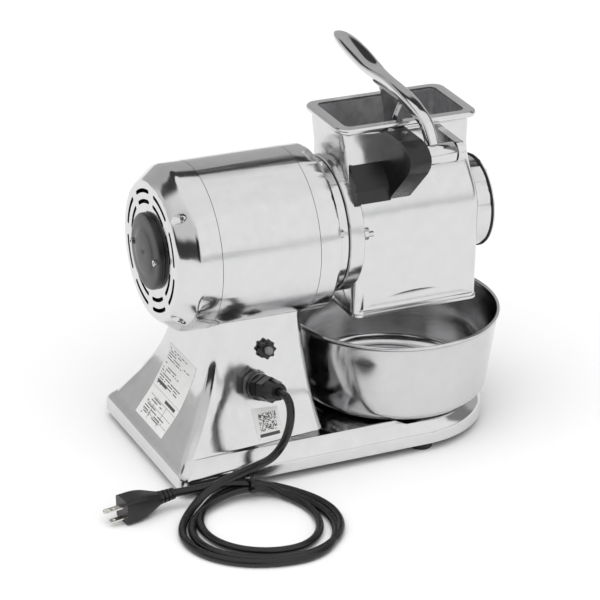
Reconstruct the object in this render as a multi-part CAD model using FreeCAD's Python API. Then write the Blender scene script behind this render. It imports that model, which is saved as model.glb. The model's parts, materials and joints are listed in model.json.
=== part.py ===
import FreeCAD, Part
import math
import os
from FreeCAD import Placement, Rotation, Vector

# Bench-top rotary grater and ice shaver: a motor on a cast pedestal drives a toothed drum
# below a feed hopper, and a hinged lever presses the load down on the drum.
# Lengths are in millimetres. While it is modelled the machine stands on z = 0, its vertical
# mid-plane is y = 0, and +X runs along the drive shaft from the motor to the drum.
# The mains lead is on the -Y side and the operator stands on the +Y side.

# ---- driving dimensions -----------------------------------------------------------------
FOOT_HEIGHT = 10.0          # the base casting's lower rim stands this far above the bench
AXIS_Z = 235.8              # height of the drive shaft
WALL = 5.0                  # cast wall

BASE_REAR_X = -180.0
BASE_HALF_WIDTH = 109.4
BASE_NOSE_X = 104.0         # centre of the round front end
BASE_NOSE_R = 106.0
BAND_TOP_Z = 20.5           # top of the upright band around the base
CREST_Z = 38.0              # top of the rounded shoulder above the band
# the shoulder: how far in from the band, and the share of the height from band to crest
SHOULDER = ((0.0, 0.0), (0.5, 0.154), (1.9, 0.303), (4.0, 0.44), (13.0, 1.0))
BASE_CORNER = 11.0
PAN_FLOOR_Z = 33.5          # floor that the bowl stands on
BOWL_SEAT_R = 101.0
SADDLE_GAP = 0.15

# pedestal levels: height, rear x, half width there, front x, half width there
PEDESTAL_LEVELS = (
    (24.0, -179.0, 108.0, -2.0, 98.0),
    (30.0, -173.8, 101.0, -4.0, 90.0),
    (40.0, -167.4, 95.2, -5.5, 78.4),
    (53.0, -158.5, 88.4, -7.2, 69.7),
    (70.0, -148.3, 80.2, -9.4, 61.8),
    (100.0, -134.0, 66.5, -13.2, 55.8),
    (120.0, -128.3, 61.0, -16.0, 53.5),
    (145.0, -125.0, 57.0, -18.5, 51.5),
    (176.0, -123.0, 55.0, -21.0, 50.6),
)
PEDESTAL_CORNER = 10.0

MOTOR_R = 87.8
MOTOR_WALL = 3.6
CAP_SEAM_X = -125.8         # rear cap to sleeve
RING_SEAM_X = -17.5         # sleeve to front ring
RING_FRONT_X = 6.8
CAP_BEVEL_X = -149.7        # where the rear cap starts to slope in
CAP_FACE_X = -169.5         # flat rear face
CAP_FACE_R = 72.0
SEAM_GAP = 0.5
VENT_COUNT = 8
VENT_ARC_DEG = 30.0
VENT_OUTER_R = 62.5
VENT_INNER_R = 51.5
VENT_WIDTH = 4.2
DISC_R = 40.2
DISC_BACK_X = -176.0
NECK_R = 72.0
GASKET_X = 21.0
GASKET_THICK = 2.0

SHAFT_R = 11.0
DRUM_R = 44.0
DRUM_X0 = 46.0
DRUM_X1 = 169.0
TEETH_ROUND = 24
TEETH_ALONG = 12

FLANGE_R = 73.0             # head casting's round rear flange
FLANGE_X1 = 40.0
HEAD_X0 = 36.0
HEAD_X1 = 180.5
HEAD_HALF_WIDTH = 60.0
HEAD_CORNER = 10.0
OUTLET_Z = 149.0            # lower edge of the outlet lip
LIP_HEIGHT = 6.0
CHAMBER_R = 48.0
BOSS_R = 49.0
BOSS_X1 = 199.5
COVER_R = 49.3
COVER_X1 = 206.5
HOPPER_TOP_Z = 355.8
HOPPER_X0 = 31.0            # inside of the feed mouth
HOPPER_X1 = 168.5
HOPPER_HALF_WIDTH = 37.2
RIM_X0 = 19.8
RIM_X1 = 181.0
RIM_HALF_WIDTH = 47.0
RIM_THICK = 6.4

BOWL_X = 110.0
BOWL_RIM_R = 114.4
BOWL_RIM_BEAD = 1.8
BOWL_RIM_Z = 127.6
BOWL_FOOT_R = 88.0
BOWL_CORNER_R = 104.3
BOWL_CORNER_Z = 47.0
BOWL_WALL = 1.5
BOWL_CLEAR = 0.25

HINGE_Y = -93.0
HINGE_Z = 336.0
HINGE_PIN_R = 6.0
BARREL_R = 11.0
BARREL_X0 = 85.0
BARREL_X1 = 126.0
KNUCKLE_X0 = 127.6
KNUCKLE_X1 = 136.0
INNER_KNUCKLE_X0 = 74.5
INNER_KNUCKLE_X1 = 82.0
LEVER_X = 100.5
LEVER_TIP_Y = 136.0
# lever stations: sideways shift, y, height of the middle, width, thickness
LEVER_STATIONS = (
    (2.4, -91.0, 345.0, 12.5, 13.0),
    (1.4, -78.0, 364.5, 13.5, 12.0),
    (0.4, -60.0, 372.0, 15.0, 12.5),
    (0.0, -40.0, 376.5, 16.0, 12.5),
    (0.0, -15.0, 379.0, 15.0, 12.0),
    (0.0, 8.0, 380.5, 14.0, 11.0),
    (0.0, 30.0, 381.0, 18.0, 10.0),
    (0.0, 55.0, 383.0, 23.5, 9.5),
    (0.0, 80.0, 387.0, 25.0, 9.5),
    (0.0, 105.0, 390.5, 23.0, 9.0),
    (0.0, 122.0, 392.0, 18.0, 8.5),
    (0.0, 132.0, 392.2, 11.0, 7.0),
    (0.0, LEVER_TIP_Y, 392.2, 4.0, 4.0),
)
BRANCH_THICK = 9.0
PUSHER_PIN_Z = 322.0
PUSHER_PIN_R = 4.0
PUSHER_HALF_LENGTH = 61.5
PUSHER_HALF_WIDTH = 26.5
PUSHER_X = 103.5
PUSHER_BOTTOM_Z = 300.0

GLAND_AT = Vector(-74.0, -63.5, 91.5)
GLAND_DIR = Vector(0.10, -0.955, 0.28).normalize()
GLAND_LENGTH = 43.0
BUTTON_AT = Vector(-64.0, -55.6, 130.0)
BUTTON_DIR = Vector(0.05, -0.985, 0.16).normalize()
SWITCH_AT = Vector(-70.0, 60.0, 112.0)
SWITCH_DIR = Vector(0.09, 0.965, 0.245).normalize()

FOOT_R = 13.0
FOOT_SPOTS = ((-155.0, -88.0), (-155.0, 88.0), (105.0, -88.0), (105.0, 88.0))

CORD_R = 4.3

# The finished frame has its origin under the middle of the machine's own box.
MID_X = (BASE_REAR_X + BOWL_X + BOWL_RIM_R + BOWL_RIM_BEAD) / 2
MID_Y = (LEVER_TIP_Y - BOWL_RIM_R - BOWL_RIM_BEAD) / 2

X_DIR = Vector(1, 0, 0)
Y_DIR = Vector(0, 1, 0)
Z_DIR = Vector(0, 0, 1)
SHAFT = Vector(0, 0, AXIS_Z)


# ---- helpers ----------------------------------------------------------------------------
def save(name, solid):
    """Move a solid from the modelling frame to the finished frame and write it."""
    shape = solid.copy()
    shape.translate(Vector(-MID_X, -MID_Y, 0))
    shape.exportStep("parts/%s.step" % name)
    return shape


def rod(start, direction, radius, length):
    return Part.makeCylinder(radius, length, start, direction)


def on_shaft(x0, x1, radius):
    """A cylinder on the drive shaft's line."""
    return rod(Vector(x0, 0, AXIS_Z), X_DIR, radius, x1 - x0)


def ring_on_shaft(x0, x1, outer, inner):
    return on_shaft(x0, x1, outer).cut(on_shaft(x0 - 1, x1 + 1, inner))


def block(x0, x1, y0, y1, z0, z1):
    return Part.makeBox(x1 - x0, y1 - y0, z1 - z0, Vector(x0, y0, z0))


def polygon(points):
    return Part.makePolygon(list(points) + [points[0]])


def turned(profile, centre=SHAFT, axis=X_DIR, out=Z_DIR):
    """Revolve (distance along the axis, radius) points about the axis."""
    points = [centre + axis * along + out * radius for along, radius in profile]
    return Part.Face(polygon(points)).revolve(centre, axis, 360)


def cross_prism(profile, x0, x1):
    """Extrude (y, z) points along X."""
    points = [Vector(x0, y, z) for y, z in profile]
    return Part.Face(polygon(points)).extrude(Vector(x1 - x0, 0, 0))


def rounded_loop(corners, radius, z):
    """A closed wire through plan corners at height z, each corner an arc."""
    count = len(corners)
    edges = []
    ends = []
    for i in range(count):
        here = Vector(corners[i][0], corners[i][1], z)
        before = Vector(corners[i - 1][0], corners[i - 1][1], z)
        after = Vector(corners[(i + 1) % count][0], corners[(i + 1) % count][1], z)
        to_before = (before - here).normalize()
        to_after = (after - here).normalize()
        half = to_before.getAngle(to_after) / 2
        reach = radius / math.tan(half)
        middle_dir = (to_before + to_after).normalize()
        centre = here + middle_dir * (radius / math.sin(half))
        ends.append((here + to_before * reach, centre - middle_dir * radius, here + to_after * reach))
    for i in range(count):
        start, middle, stop = ends[i]
        edges.append(Part.Arc(start, middle, stop).toShape())
        edges.append(Part.LineSegment(stop, ends[(i + 1) % count][0]).toShape())
    return Part.Wire(edges)


def rect_loop(x0, x1, half_width, radius, z):
    corners = ((x0, -half_width), (x1, -half_width), (x1, half_width), (x0, half_width))
    return rounded_loop(corners, radius, z)


def rect_prism(x0, x1, half_width, radius, z0, z1):
    return Part.Face(rect_loop(x0, x1, half_width, radius, z0)).extrude(Vector(0, 0, z1 - z0))


def hexagon(start, direction, across_flats, length):
    """A hexagonal prism along a direction."""
    corner_r = across_flats / math.sqrt(3)
    points = [Vector(corner_r * math.cos(math.radians(60 * k + 30)),
                     corner_r * math.sin(math.radians(60 * k + 30)), 0) for k in range(6)]
    solid = Part.Face(polygon(points)).extrude(Vector(0, 0, length))
    solid.Placement = Placement(start, Rotation(Z_DIR, direction))
    return solid


def fuse_all(solids):
    first = solids[0]
    return first.fuse(solids[1:]).removeSplitter() if len(solids) > 1 else first


def around_shaft(solid, count, first_deg=0.0):
    """Copies of a solid turned about the drive shaft, as a group of separate solids."""
    copies = []
    for k in range(count):
        turned_copy = solid.copy()
        turned_copy.rotate(SHAFT, X_DIR, first_deg + 360.0 * k / count)
        copies.append(turned_copy)
    return Part.makeCompound(copies)


# ---- base -------------------------------------------------------------------------------
def base_outline(inset, z):
    """Plan of the base: straight rear and sides, round nose."""
    rear = BASE_REAR_X + inset
    half = BASE_HALF_WIDTH - inset
    nose_r = BASE_NOSE_R - inset
    corner = BASE_CORNER
    rear_low = Vector(rear, -half + corner, z)
    rear_high = Vector(rear, half - corner, z)
    low_in = Vector(rear + corner, -half, z)
    high_in = Vector(rear + corner, half, z)
    nose_low = Vector(BASE_NOSE_X, -nose_r, z)
    nose_high = Vector(BASE_NOSE_X, nose_r, z)
    diagonal = corner * (1 - math.sqrt(0.5))
    low_mid = Vector(rear + diagonal, -half + diagonal, z)
    high_mid = Vector(rear + diagonal, half - diagonal, z)
    edges = [
        Part.LineSegment(rear_high, rear_low).toShape(),
        Part.Arc(rear_low, low_mid, low_in).toShape(),
        Part.LineSegment(low_in, nose_low).toShape(),
        Part.Arc(nose_low, Vector(BASE_NOSE_X + nose_r, 0, z), nose_high).toShape(),
        Part.LineSegment(nose_high, high_in).toShape(),
        Part.Arc(high_in, high_mid, rear_high).toShape(),
    ]
    return Part.Wire(edges)


def pedestal_loft(grow):
    """The tapering column, grown outwards by a margin; a negative margin gives its cavity."""
    loops = []
    for z, rear_x, rear_half, front_x, front_half in PEDESTAL_LEVELS:
        corners = ((rear_x - grow, -rear_half - grow), (front_x + grow, -front_half - grow),
                   (front_x + grow, front_half + grow), (rear_x - grow, rear_half + grow))
        loops.append(rounded_loop(corners, PEDESTAL_CORNER + max(grow, -4.0), z))
    return Part.makeLoft(loops, True, False)


def base_skirt(inset, floor_z, crest_z):
    band = Part.Face(base_outline(inset, floor_z)).extrude(Vector(0, 0, BAND_TOP_Z - floor_z))
    rise = crest_z - BAND_TOP_Z
    levels = [base_outline(inset + inwards, BAND_TOP_Z + rise * share) for inwards, share in SHOULDER]
    return band.fuse(Part.makeLoft(levels, True, True))


def make_base():
    outer = base_skirt(0.0, FOOT_HEIGHT, CREST_Z)
    seat = Part.makeCylinder(BOWL_SEAT_R, 30.0, Vector(BOWL_X, 0, PAN_FLOOR_Z))
    tray = rect_prism(-8.0, BOWL_X, 92.0, 12.0, PAN_FLOOR_Z, CREST_Z + 20)
    outer = outer.cut(seat.fuse(tray)).fuse(pedestal_loft(0.0))
    outer = outer.cut(on_shaft(-200, 60, MOTOR_R + SADDLE_GAP))
    cavity = base_skirt(WALL, FOOT_HEIGHT - 1, PAN_FLOOR_Z - WALL - 2)
    column_cavity = pedestal_loft(-WALL).cut(on_shaft(-200, 60, MOTOR_R + WALL))
    body = outer.cut(cavity).cut(column_cavity)
    for x, y in FOOT_SPOTS:
        post = Part.makeCylinder(7.0, 50.0, Vector(x, y, FOOT_HEIGHT + 3)).common(outer)
        body = body.fuse(post.cut(Part.makeCylinder(2.6, 40.0, Vector(x, y, 0))))
    holes = [
        rod(GLAND_AT - GLAND_DIR * 14, GLAND_DIR, 10.1, 30),
        rod(GLAND_AT + GLAND_DIR * 0.5, GLAND_DIR, 14.8, 20),
        rod(BUTTON_AT - BUTTON_DIR * 12, BUTTON_DIR, 6.1, 24),
        rod(BUTTON_AT + BUTTON_DIR * 0.8, BUTTON_DIR, 10.8, 20),
        switch_block(-12.0, 24.0, 20.0, 36.0),
        switch_block(1.0, 24.0, 23.3, 39.3),
    ]
    for hole in holes + saddle_rods(3.1, 16.0):
        body = body.cut(hole)
    return body.removeSplitter()


def saddle_rods(radius, length):
    """Radial rods through the saddle and the motor sleeve, from below."""
    rods = []
    for x in (-104.0, -46.0):
        for angle in (-105.0, -75.0):
            out = Vector(0, math.cos(math.radians(angle)), math.sin(math.radians(angle)))
            start = SHAFT + X_DIR * x + out * (MOTOR_R + WALL + 6.0)
            rods.append(rod(start, out * -1, radius, length))
    return rods


def make_saddle_bolts():
    """Bolts that hold the motor sleeve down on the saddle."""
    bolts = []
    for shank in saddle_rods(3.0, 13.8):
        centre = shank.CenterOfMass
        out = (centre - Vector(centre.x, 0, AXIS_Z)).normalize()
        start = Vector(centre.x, 0, AXIS_Z) + out * (MOTOR_R + WALL + 4.2)
        bolts.append(hexagon(start, out * -1, 10.0, 4.0).fuse(shank))
    return Part.makeCompound(bolts)


def switch_frame():
    return Placement(SWITCH_AT, Rotation(Z_DIR, SWITCH_DIR))


def switch_block(z0, z1, half_x, half_y):
    """A box square to the operator-side wall, z0 to z1 along the wall's normal."""
    solid = Part.makeBox(2 * half_x, 2 * half_y, z1 - z0, Vector(-half_x, -half_y, z0))
    solid.Placement = switch_frame()
    return solid


def switch_rod(offset, z0, z1, radius):
    solid = Part.makeCylinder(radius, z1 - z0, Vector(offset[0], offset[1], z0))
    solid.Placement = switch_frame()
    return solid


def make_bottom_cover():
    plate = Part.Face(base_outline(WALL + 1.0, FOOT_HEIGHT)).extrude(Vector(0, 0, 2.0))
    for x, y in FOOT_SPOTS:
        plate = plate.cut(Part.makeCylinder(2.6, 10.0, Vector(x, y, FOOT_HEIGHT - 3)))
    for k in range(6):
        for side in (-1, 1):
            slot = block(-120.0 + 14 * k, -114.0 + 14 * k, 20.0, 60.0, FOOT_HEIGHT - 1, FOOT_HEIGHT + 4)
            if side < 0:
                slot = slot.mirror(Vector(0, 0, 0), Y_DIR)
            plate = plate.cut(slot)
    return plate


def make_feet():
    feet = []
    for x, y in FOOT_SPOTS:
        profile = ((0.0, FOOT_R - 1.5), (1.5, FOOT_R), (FOOT_HEIGHT, FOOT_R - 2.5),
                   (FOOT_HEIGHT, 2.7), (4.0, 2.7), (4.0, 6.0), (0.0, 6.0))
        feet.append(turned(profile, Vector(x, y, 0), Z_DIR, X_DIR))
    return Part.makeCompound(feet)


def make_foot_screws():
    screws = []
    for x, y in FOOT_SPOTS:
        head = Part.makeCylinder(4.6, 2.4, Vector(x, y, 1.55))
        shank = Part.makeCylinder(2.45, 18.0, Vector(x, y, 3.95))
        slot = block(x - 5, x + 5, y - 0.6, y + 0.6, 1.0, 2.6)
        screws.append(head.fuse(shank).cut(slot))
    return Part.makeCompound(screws)


# ---- motor ------------------------------------------------------------------------------
def arc_slot(radius, width, centre_deg, arc_deg):
    """A curved slot with round ends, cut along X through the rear face."""
    half = math.radians(arc_deg / 2)
    mid = math.radians(centre_deg)
    x0 = CAP_FACE_X - 4

    def at(r, angle):
        return Vector(x0, r * math.cos(angle), AXIS_Z + r * math.sin(angle))

    outer = radius + width / 2
    inner = radius - width / 2
    edges = [
        Part.Arc(at(outer, mid - half), at(outer, mid), at(outer, mid + half)).toShape(),
        Part.LineSegment(at(outer, mid + half), at(inner, mid + half)).toShape(),
        Part.Arc(at(inner, mid + half), at(inner, mid), at(inner, mid - half)).toShape(),
        Part.LineSegment(at(inner, mid - half), at(outer, mid - half)).toShape(),
    ]
    slot = Part.Face(Part.Wire(edges)).extrude(Vector(12, 0, 0))
    for end in (mid - half, mid + half):
        slot = slot.fuse(rod(at(radius, end), X_DIR, width / 2, 12))
    return slot


CAP_SCREW_X = -154.0
CAP_SCREW_R = 78.5


def make_rear_cap():
    outside = turned(((CAP_SEAM_X - SEAM_GAP, 0.0), (CAP_SEAM_X - SEAM_GAP, MOTOR_R),
                      (CAP_BEVEL_X + 3, MOTOR_R), (CAP_BEVEL_X, MOTOR_R - 0.5),
                      (CAP_BEVEL_X - 3, MOTOR_R - 2.2), (CAP_FACE_X + 2.4, CAP_FACE_R + 2.6),
                      (CAP_FACE_X + 0.7, CAP_FACE_R + 0.8), (CAP_FACE_X, CAP_FACE_R - 1.2),
                      (CAP_FACE_X, 0.0)))
    inside = turned(((CAP_SEAM_X + 1, 0.0), (CAP_SEAM_X + 1, MOTOR_R - MOTOR_WALL),
                     (CAP_BEVEL_X, MOTOR_R - MOTOR_WALL - 0.5), (CAP_FACE_X + 5, CAP_FACE_R - 2),
                     (CAP_FACE_X + 4, 0.0)))
    cap = outside.cut(inside)
    cap = cap.fuse(ring_on_shaft(CAP_FACE_X + 2, CAP_FACE_X + 18, 27.0, 20.05))
    cap = cap.cut(on_shaft(CAP_FACE_X - 2, CAP_FACE_X + 3.9, 30.0))
    pocket_cut = []
    post_group = []
    for k in range(4):
        angle = 45.0 + 90.0 * k
        radial = Vector(0, math.cos(math.radians(angle)), math.sin(math.radians(angle)))
        seat = SHAFT + radial * CAP_SCREW_R + X_DIR * CAP_SCREW_X
        post_group.append(rod(seat - X_DIR * 12, X_DIR, 7.0, 34.5))
        pocket_cut.append(rod(seat - X_DIR * 20, X_DIR, 5.4, 20.0))
        pocket_cut.append(rod(seat - X_DIR * 1, X_DIR, 2.6, 32.5))
    for post in post_group:
        cap = cap.fuse(post.common(outside))
    for pocket in pocket_cut:
        cap = cap.cut(pocket)
    for k in range(VENT_COUNT):
        angle = 22.5 + 45.0 * k
        cap = cap.cut(arc_slot(VENT_OUTER_R, VENT_WIDTH, angle, VENT_ARC_DEG))
        cap = cap.cut(arc_slot(VENT_INNER_R, VENT_WIDTH, angle, VENT_ARC_DEG))
    return cap.removeSplitter()


def make_cap_screws():
    screws = []
    for k in range(4):
        angle = math.radians(45.0 + 90.0 * k)
        radial = Vector(0, math.cos(angle), math.sin(angle))
        seat = SHAFT + radial * CAP_SCREW_R + X_DIR * CAP_SCREW_X
        screw = rod(seat - X_DIR * 3.6, X_DIR, 4.0, 3.6).fuse(rod(seat, X_DIR, 2.4, 26.5))
        screws.append(screw.cut(hexagon(seat - X_DIR * 4.6, X_DIR, 4.0, 3.4)))
    return Part.makeCompound(screws)


def make_rear_disc():
    """Black plastic cap over the shaft end, with a stepped dome."""
    disc = turned(((CAP_FACE_X - 0.3, 0.0), (CAP_FACE_X - 0.3, DISC_R), (DISC_BACK_X + 2.5, DISC_R),
                   (DISC_BACK_X + 0.8, DISC_R - 1.0), (DISC_BACK_X, DISC_R - 3.5),
                   (DISC_BACK_X - 0.8, 26.0), (DISC_BACK_X - 1.9, 21.0), (DISC_BACK_X - 2.5, 12.0),
                   (DISC_BACK_X - 2.6, 0.0)))
    disc = disc.cut(on_shaft(CAP_FACE_X - 4, CAP_FACE_X + 1, 28.0))
    for y in (-31.0, 31.0):
        disc = disc.cut(rod(Vector(DISC_BACK_X - 3, y, AXIS_Z), X_DIR, 2.0, 12.0))
        disc = disc.cut(rod(Vector(DISC_BACK_X - 3, y, AXIS_Z), X_DIR, 3.4, 2.9))
    return disc


def make_disc_screws():
    screws = []
    for y in (-31.0, 31.0):
        head = rod(Vector(DISC_BACK_X - 3.2, y, AXIS_Z), X_DIR, 3.2, 3.1)
        shank = rod(Vector(DISC_BACK_X - 0.2, y, AXIS_Z), X_DIR, 1.9, 6.0)
        socket = hexagon(Vector(DISC_BACK_X - 4.0, y, AXIS_Z), X_DIR, 3.0, 2.6)
        screws.append(head.fuse(shank).cut(socket))
    return Part.makeCompound(screws)


def make_sleeve():
    sleeve = ring_on_shaft(CAP_SEAM_X, RING_SEAM_X, MOTOR_R, MOTOR_R - MOTOR_WALL)
    for hole in saddle_rods(3.1, 16.0):
        sleeve = sleeve.cut(hole)
    return sleeve


def make_front_ring():
    profile = ((RING_SEAM_X + SEAM_GAP, MOTOR_R - MOTOR_WALL), (RING_SEAM_X + SEAM_GAP, MOTOR_R),
               (RING_FRONT_X - 4, MOTOR_R), (RING_FRONT_X - 1.2, MOTOR_R - 0.8),
               (RING_FRONT_X, MOTOR_R - 3.0), (RING_FRONT_X, NECK_R + 2), (RING_FRONT_X + 2, NECK_R),
               (GASKET_X, NECK_R), (GASKET_X, 20.05), (GASKET_X - 26, 20.05), (GASKET_X - 26, 27.0),
               (RING_FRONT_X - 6, 27.0), (RING_FRONT_X - 6, MOTOR_R - MOTOR_WALL))
    ring = turned(profile)
    drill = rod(Vector(RING_FRONT_X - 8, 0, AXIS_Z + 80.0), X_DIR, 2.6, 20.0)
    for hole in around_shaft(drill, 6, 15.0).Solids:
        ring = ring.cut(hole)
    for y, z in STUD_SPOTS:
        ring = ring.cut(rod(Vector(GASKET_X - 8.1, y, z), X_DIR, 3.1, 20.0))
    return ring


def make_ring_bolts():
    seat = Vector(RING_FRONT_X, 0, AXIS_Z + 80.0)
    bolt = hexagon(seat, X_DIR, 8.0, 4.5).fuse(rod(seat - X_DIR * 12, X_DIR, 2.45, 12.0))
    return around_shaft(bolt, 6, 15.0)


def bearing(x0, outer, inner, width):
    """Two races with a row of balls between them, as a group of touching-free solids."""
    race = (outer - inner) * 0.26
    middle = (outer + inner) / 2
    ball_r = (outer - inner) / 2 - race * 0.8
    solids = [ring_on_shaft(x0, x0 + width, outer, outer - race),
              ring_on_shaft(x0, x0 + width, inner + race, inner)]
    groove_r = ball_r + 0.02
    for k in range(8):
        angle = math.radians(45.0 * k)
        centre = Vector(x0 + width / 2, middle * math.cos(angle), AXIS_Z + middle * math.sin(angle))
        solids.append(Part.makeSphere(ball_r, centre))
    torus = Part.makeTorus(middle, groove_r, Vector(x0 + width / 2, 0, AXIS_Z), X_DIR)
    solids[0] = solids[0].cut(torus)
    solids[1] = solids[1].cut(torus)
    return Part.makeCompound(solids)


STATOR_X0 = -112.0
STATOR_X1 = -38.0
ROTOR_R = 46.0


def make_stator():
    core = ring_on_shaft(STATOR_X0, STATOR_X1, MOTOR_R - MOTOR_WALL - 0.05, ROTOR_R + 0.8)
    slot = block(STATOR_X0 - 1, STATOR_X1 + 1, -3.0, 3.0, AXIS_Z + ROTOR_R - 1, AXIS_Z + 68.0)
    for cutter in around_shaft(slot, 12).Solids:
        core = core.cut(cutter)
    return core


def make_windings():
    """Twelve slot bars joined by an end turn at each side of the stator core."""
    bar = block(STATOR_X0 - 10, STATOR_X1 + 10, -2.7, 2.7, AXIS_Z + ROTOR_R + 3, AXIS_Z + 67.5)
    solids = list(around_shaft(bar, 12).Solids)
    solids.append(ring_on_shaft(STATOR_X0 - 12, STATOR_X0 - 1.5, 70.0, ROTOR_R + 4))
    solids.append(ring_on_shaft(STATOR_X1 + 1.5, STATOR_X1 + 12, 70.0, ROTOR_R + 4))
    return fuse_all(solids)


# ---- rotating parts ---------------------------------------------------------------------
REAR_BEARING_X = CAP_FACE_X + 5.0
FRONT_BEARING_X = -4.0
OUTER_BEARING_X = 188.0
BEARING_WIDTH = 12.0


def make_shaft():
    shaft = turned(((REAR_BEARING_X, 0.0), (REAR_BEARING_X, 8.0),
                    (REAR_BEARING_X + 14, 8.0), (REAR_BEARING_X + 14, SHAFT_R),
                    (FRONT_BEARING_X - 1, SHAFT_R), (FRONT_BEARING_X - 1, 10.0),
                    (DRUM_X1 + 4, 10.0), (DRUM_X1 + 4, 8.0),
                    (OUTER_BEARING_X + BEARING_WIDTH, 8.0), (OUTER_BEARING_X + BEARING_WIDTH, 0.0)))
    return shaft.cut(block(80.0, 140.0, -3.0, 3.0, AXIS_Z + 6.5, AXIS_Z + 12))


def make_drum():
    """Hollow drum with rows of raised, punched teeth; each row is staggered."""
    shell = ring_on_shaft(DRUM_X0, DRUM_X1, DRUM_R - 2.6, DRUM_R - 5.6)
    solids = [shell,
              ring_on_shaft(DRUM_X0, DRUM_X0 + 6, DRUM_R - 4, 10.02),
              ring_on_shaft(DRUM_X1 - 6, DRUM_X1, DRUM_R - 4, 10.02),
              ring_on_shaft(DRUM_X0, DRUM_X1, 17.0, 10.02)]
    drum = fuse_all(solids)
    pitch = (DRUM_X1 - DRUM_X0 - 10.0) / TEETH_ALONG
    teeth = []
    for row in range(TEETH_ALONG):
        x = DRUM_X0 + 5.0 + pitch * (row + 0.5)
        tooth = Part.makeCone(2.9, 0.5, 3.6, Vector(x, 0, AXIS_Z + DRUM_R - 3.6), Z_DIR)
        teeth += around_shaft(tooth, TEETH_ROUND, 7.5 * (row % 2)).Solids
    keyway = block(DRUM_X0 - 1, DRUM_X1 + 1, -3.02, 3.02, AXIS_Z, AXIS_Z + 13.0)
    return drum.cut(keyway), teeth


def make_fan():
    hub = ring_on_shaft(-140.0, -128.0, 18.0, SHAFT_R + 0.02)
    plate = ring_on_shaft(-130.0, -128.0, 72.0, 17.0)
    blade = block(-142.0, -129.0, -1.0, 1.0, AXIS_Z + 34.0, AXIS_Z + 72.0)
    return fuse_all([hub, plate] + list(around_shaft(blade, 9).Solids))


# ---- head: hopper, drum housing, outlet -------------------------------------------------
# outer levels of the head above the straight part: height, rear x, front x, half width, corner
HEAD_LEVELS = (
    (243.0, HEAD_X0, HEAD_X1, HEAD_HALF_WIDTH, HEAD_CORNER),
    (262.0, HEAD_X0 - 0.6, HEAD_X1 - 0.4, 58.5, HEAD_CORNER),
    (282.0, 32.5, 177.6, 52.0, 10.5),
    (300.0, 30.2, 175.0, 45.2, 11.0),
    (320.0, 28.0, 173.4, 42.0, 11.0),
    (351.0, 25.6, 172.8, 41.2, 11.0),
)
CHANNEL_LEVELS = (
    (236.0, 43.0, 173.0, HOPPER_HALF_WIDTH, 6.0),
    (300.0, 35.0, 170.5, HOPPER_HALF_WIDTH, 6.0),
    (HOPPER_TOP_Z + 4, HOPPER_X0, HOPPER_X1, HOPPER_HALF_WIDTH, 7.0),
)
SCOOP_DEPTH = 4.0
SCOOP_R = 24.0
ARCH_TOP_Z = 171.0
ARCH_R = 150.0


def level_loft(levels):
    loops = [rect_loop(x0, x1, half, corner, z) for z, x0, x1, half, corner in levels]
    return Part.makeLoft(loops, True, False)


def scoop(side):
    """Arched hollow in the side wall just above the outlet lip."""
    lip_top = OUTLET_Z + LIP_HEIGHT
    centre_y = side * (HEAD_HALF_WIDTH + SCOOP_R - SCOOP_DEPTH)
    groove = rod(Vector(HEAD_X0 + 4, centre_y, lip_top + 10), X_DIR, SCOOP_R, HEAD_X1 - HEAD_X0 - 8)
    middle_x = (HEAD_X0 + HEAD_X1) / 2
    arch = rod(Vector(middle_x, -150, ARCH_TOP_Z - ARCH_R), Y_DIR, ARCH_R, 300)
    above_lip = block(0, 300, -200, 200, lip_top, 300)
    return groove.common(arch).common(above_lip)


def make_head():
    lower = rect_prism(HEAD_X0, HEAD_X1, HEAD_HALF_WIDTH, HEAD_CORNER, OUTLET_Z, 243.0)
    upper = level_loft(HEAD_LEVELS)
    rim = rect_prism(RIM_X0, RIM_X1, RIM_HALF_WIDTH, 14.0, HOPPER_TOP_Z - RIM_THICK, HOPPER_TOP_Z)
    long_edges = [e for e in rim.Edges if abs(e.BoundBox.ZLength) < 0.01]
    rim = rim.makeFillet(2.9, long_edges)
    flange = on_shaft(GASKET_X + GASKET_THICK, FLANGE_X1, FLANGE_R)
    flange_edges = [e for e in flange.Edges if e.BoundBox.XLength < 0.01]
    flange = flange.makeChamfer(1.2, flange_edges)
    boss = on_shaft(HEAD_X1 - 20, BOSS_X1, BOSS_R)
    lip = rect_prism(HEAD_X0 - 1.5, HEAD_X1 + 1.5, HEAD_HALF_WIDTH + 1.5, HEAD_CORNER + 1,
                     OUTLET_Z, OUTLET_Z + LIP_HEIGHT * 0.42)
    head = fuse_all([lower, upper, rim, flange, boss, lip])
    for side in (-1, 1):
        head = head.cut(scoop(side))
    cavity = [
        level_loft(CHANNEL_LEVELS),
        on_shaft(42.0, 174.0, CHAMBER_R),
        rect_prism(42.0, 174.0, CHAMBER_R, 6.0, OUTLET_Z - 5, AXIS_Z),
        on_shaft(10.0, 50.0, 22.0),
        on_shaft(170.0, 210.0, 45.5),
    ]
    for space in cavity:
        head = head.cut(space)
    head = head.fuse(hinge_arm(KNUCKLE_X0, KNUCKLE_X1))
    head = head.fuse(hinge_arm(INNER_KNUCKLE_X0, INNER_KNUCKLE_X1))
    head = head.cut(rod(Vector(50, HINGE_Y, HINGE_Z), X_DIR, HINGE_PIN_R, 100))
    for stud_y, stud_z in STUD_SPOTS:
        head = head.cut(rod(Vector(15, stud_y, stud_z), X_DIR, 3.1, 28))
    for hole in cover_stud_rods(COVER_STUD_R + 0.1) + make_outlet_guard().Solids:
        head = head.cut(hole)
    return head.removeSplitter()


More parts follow.
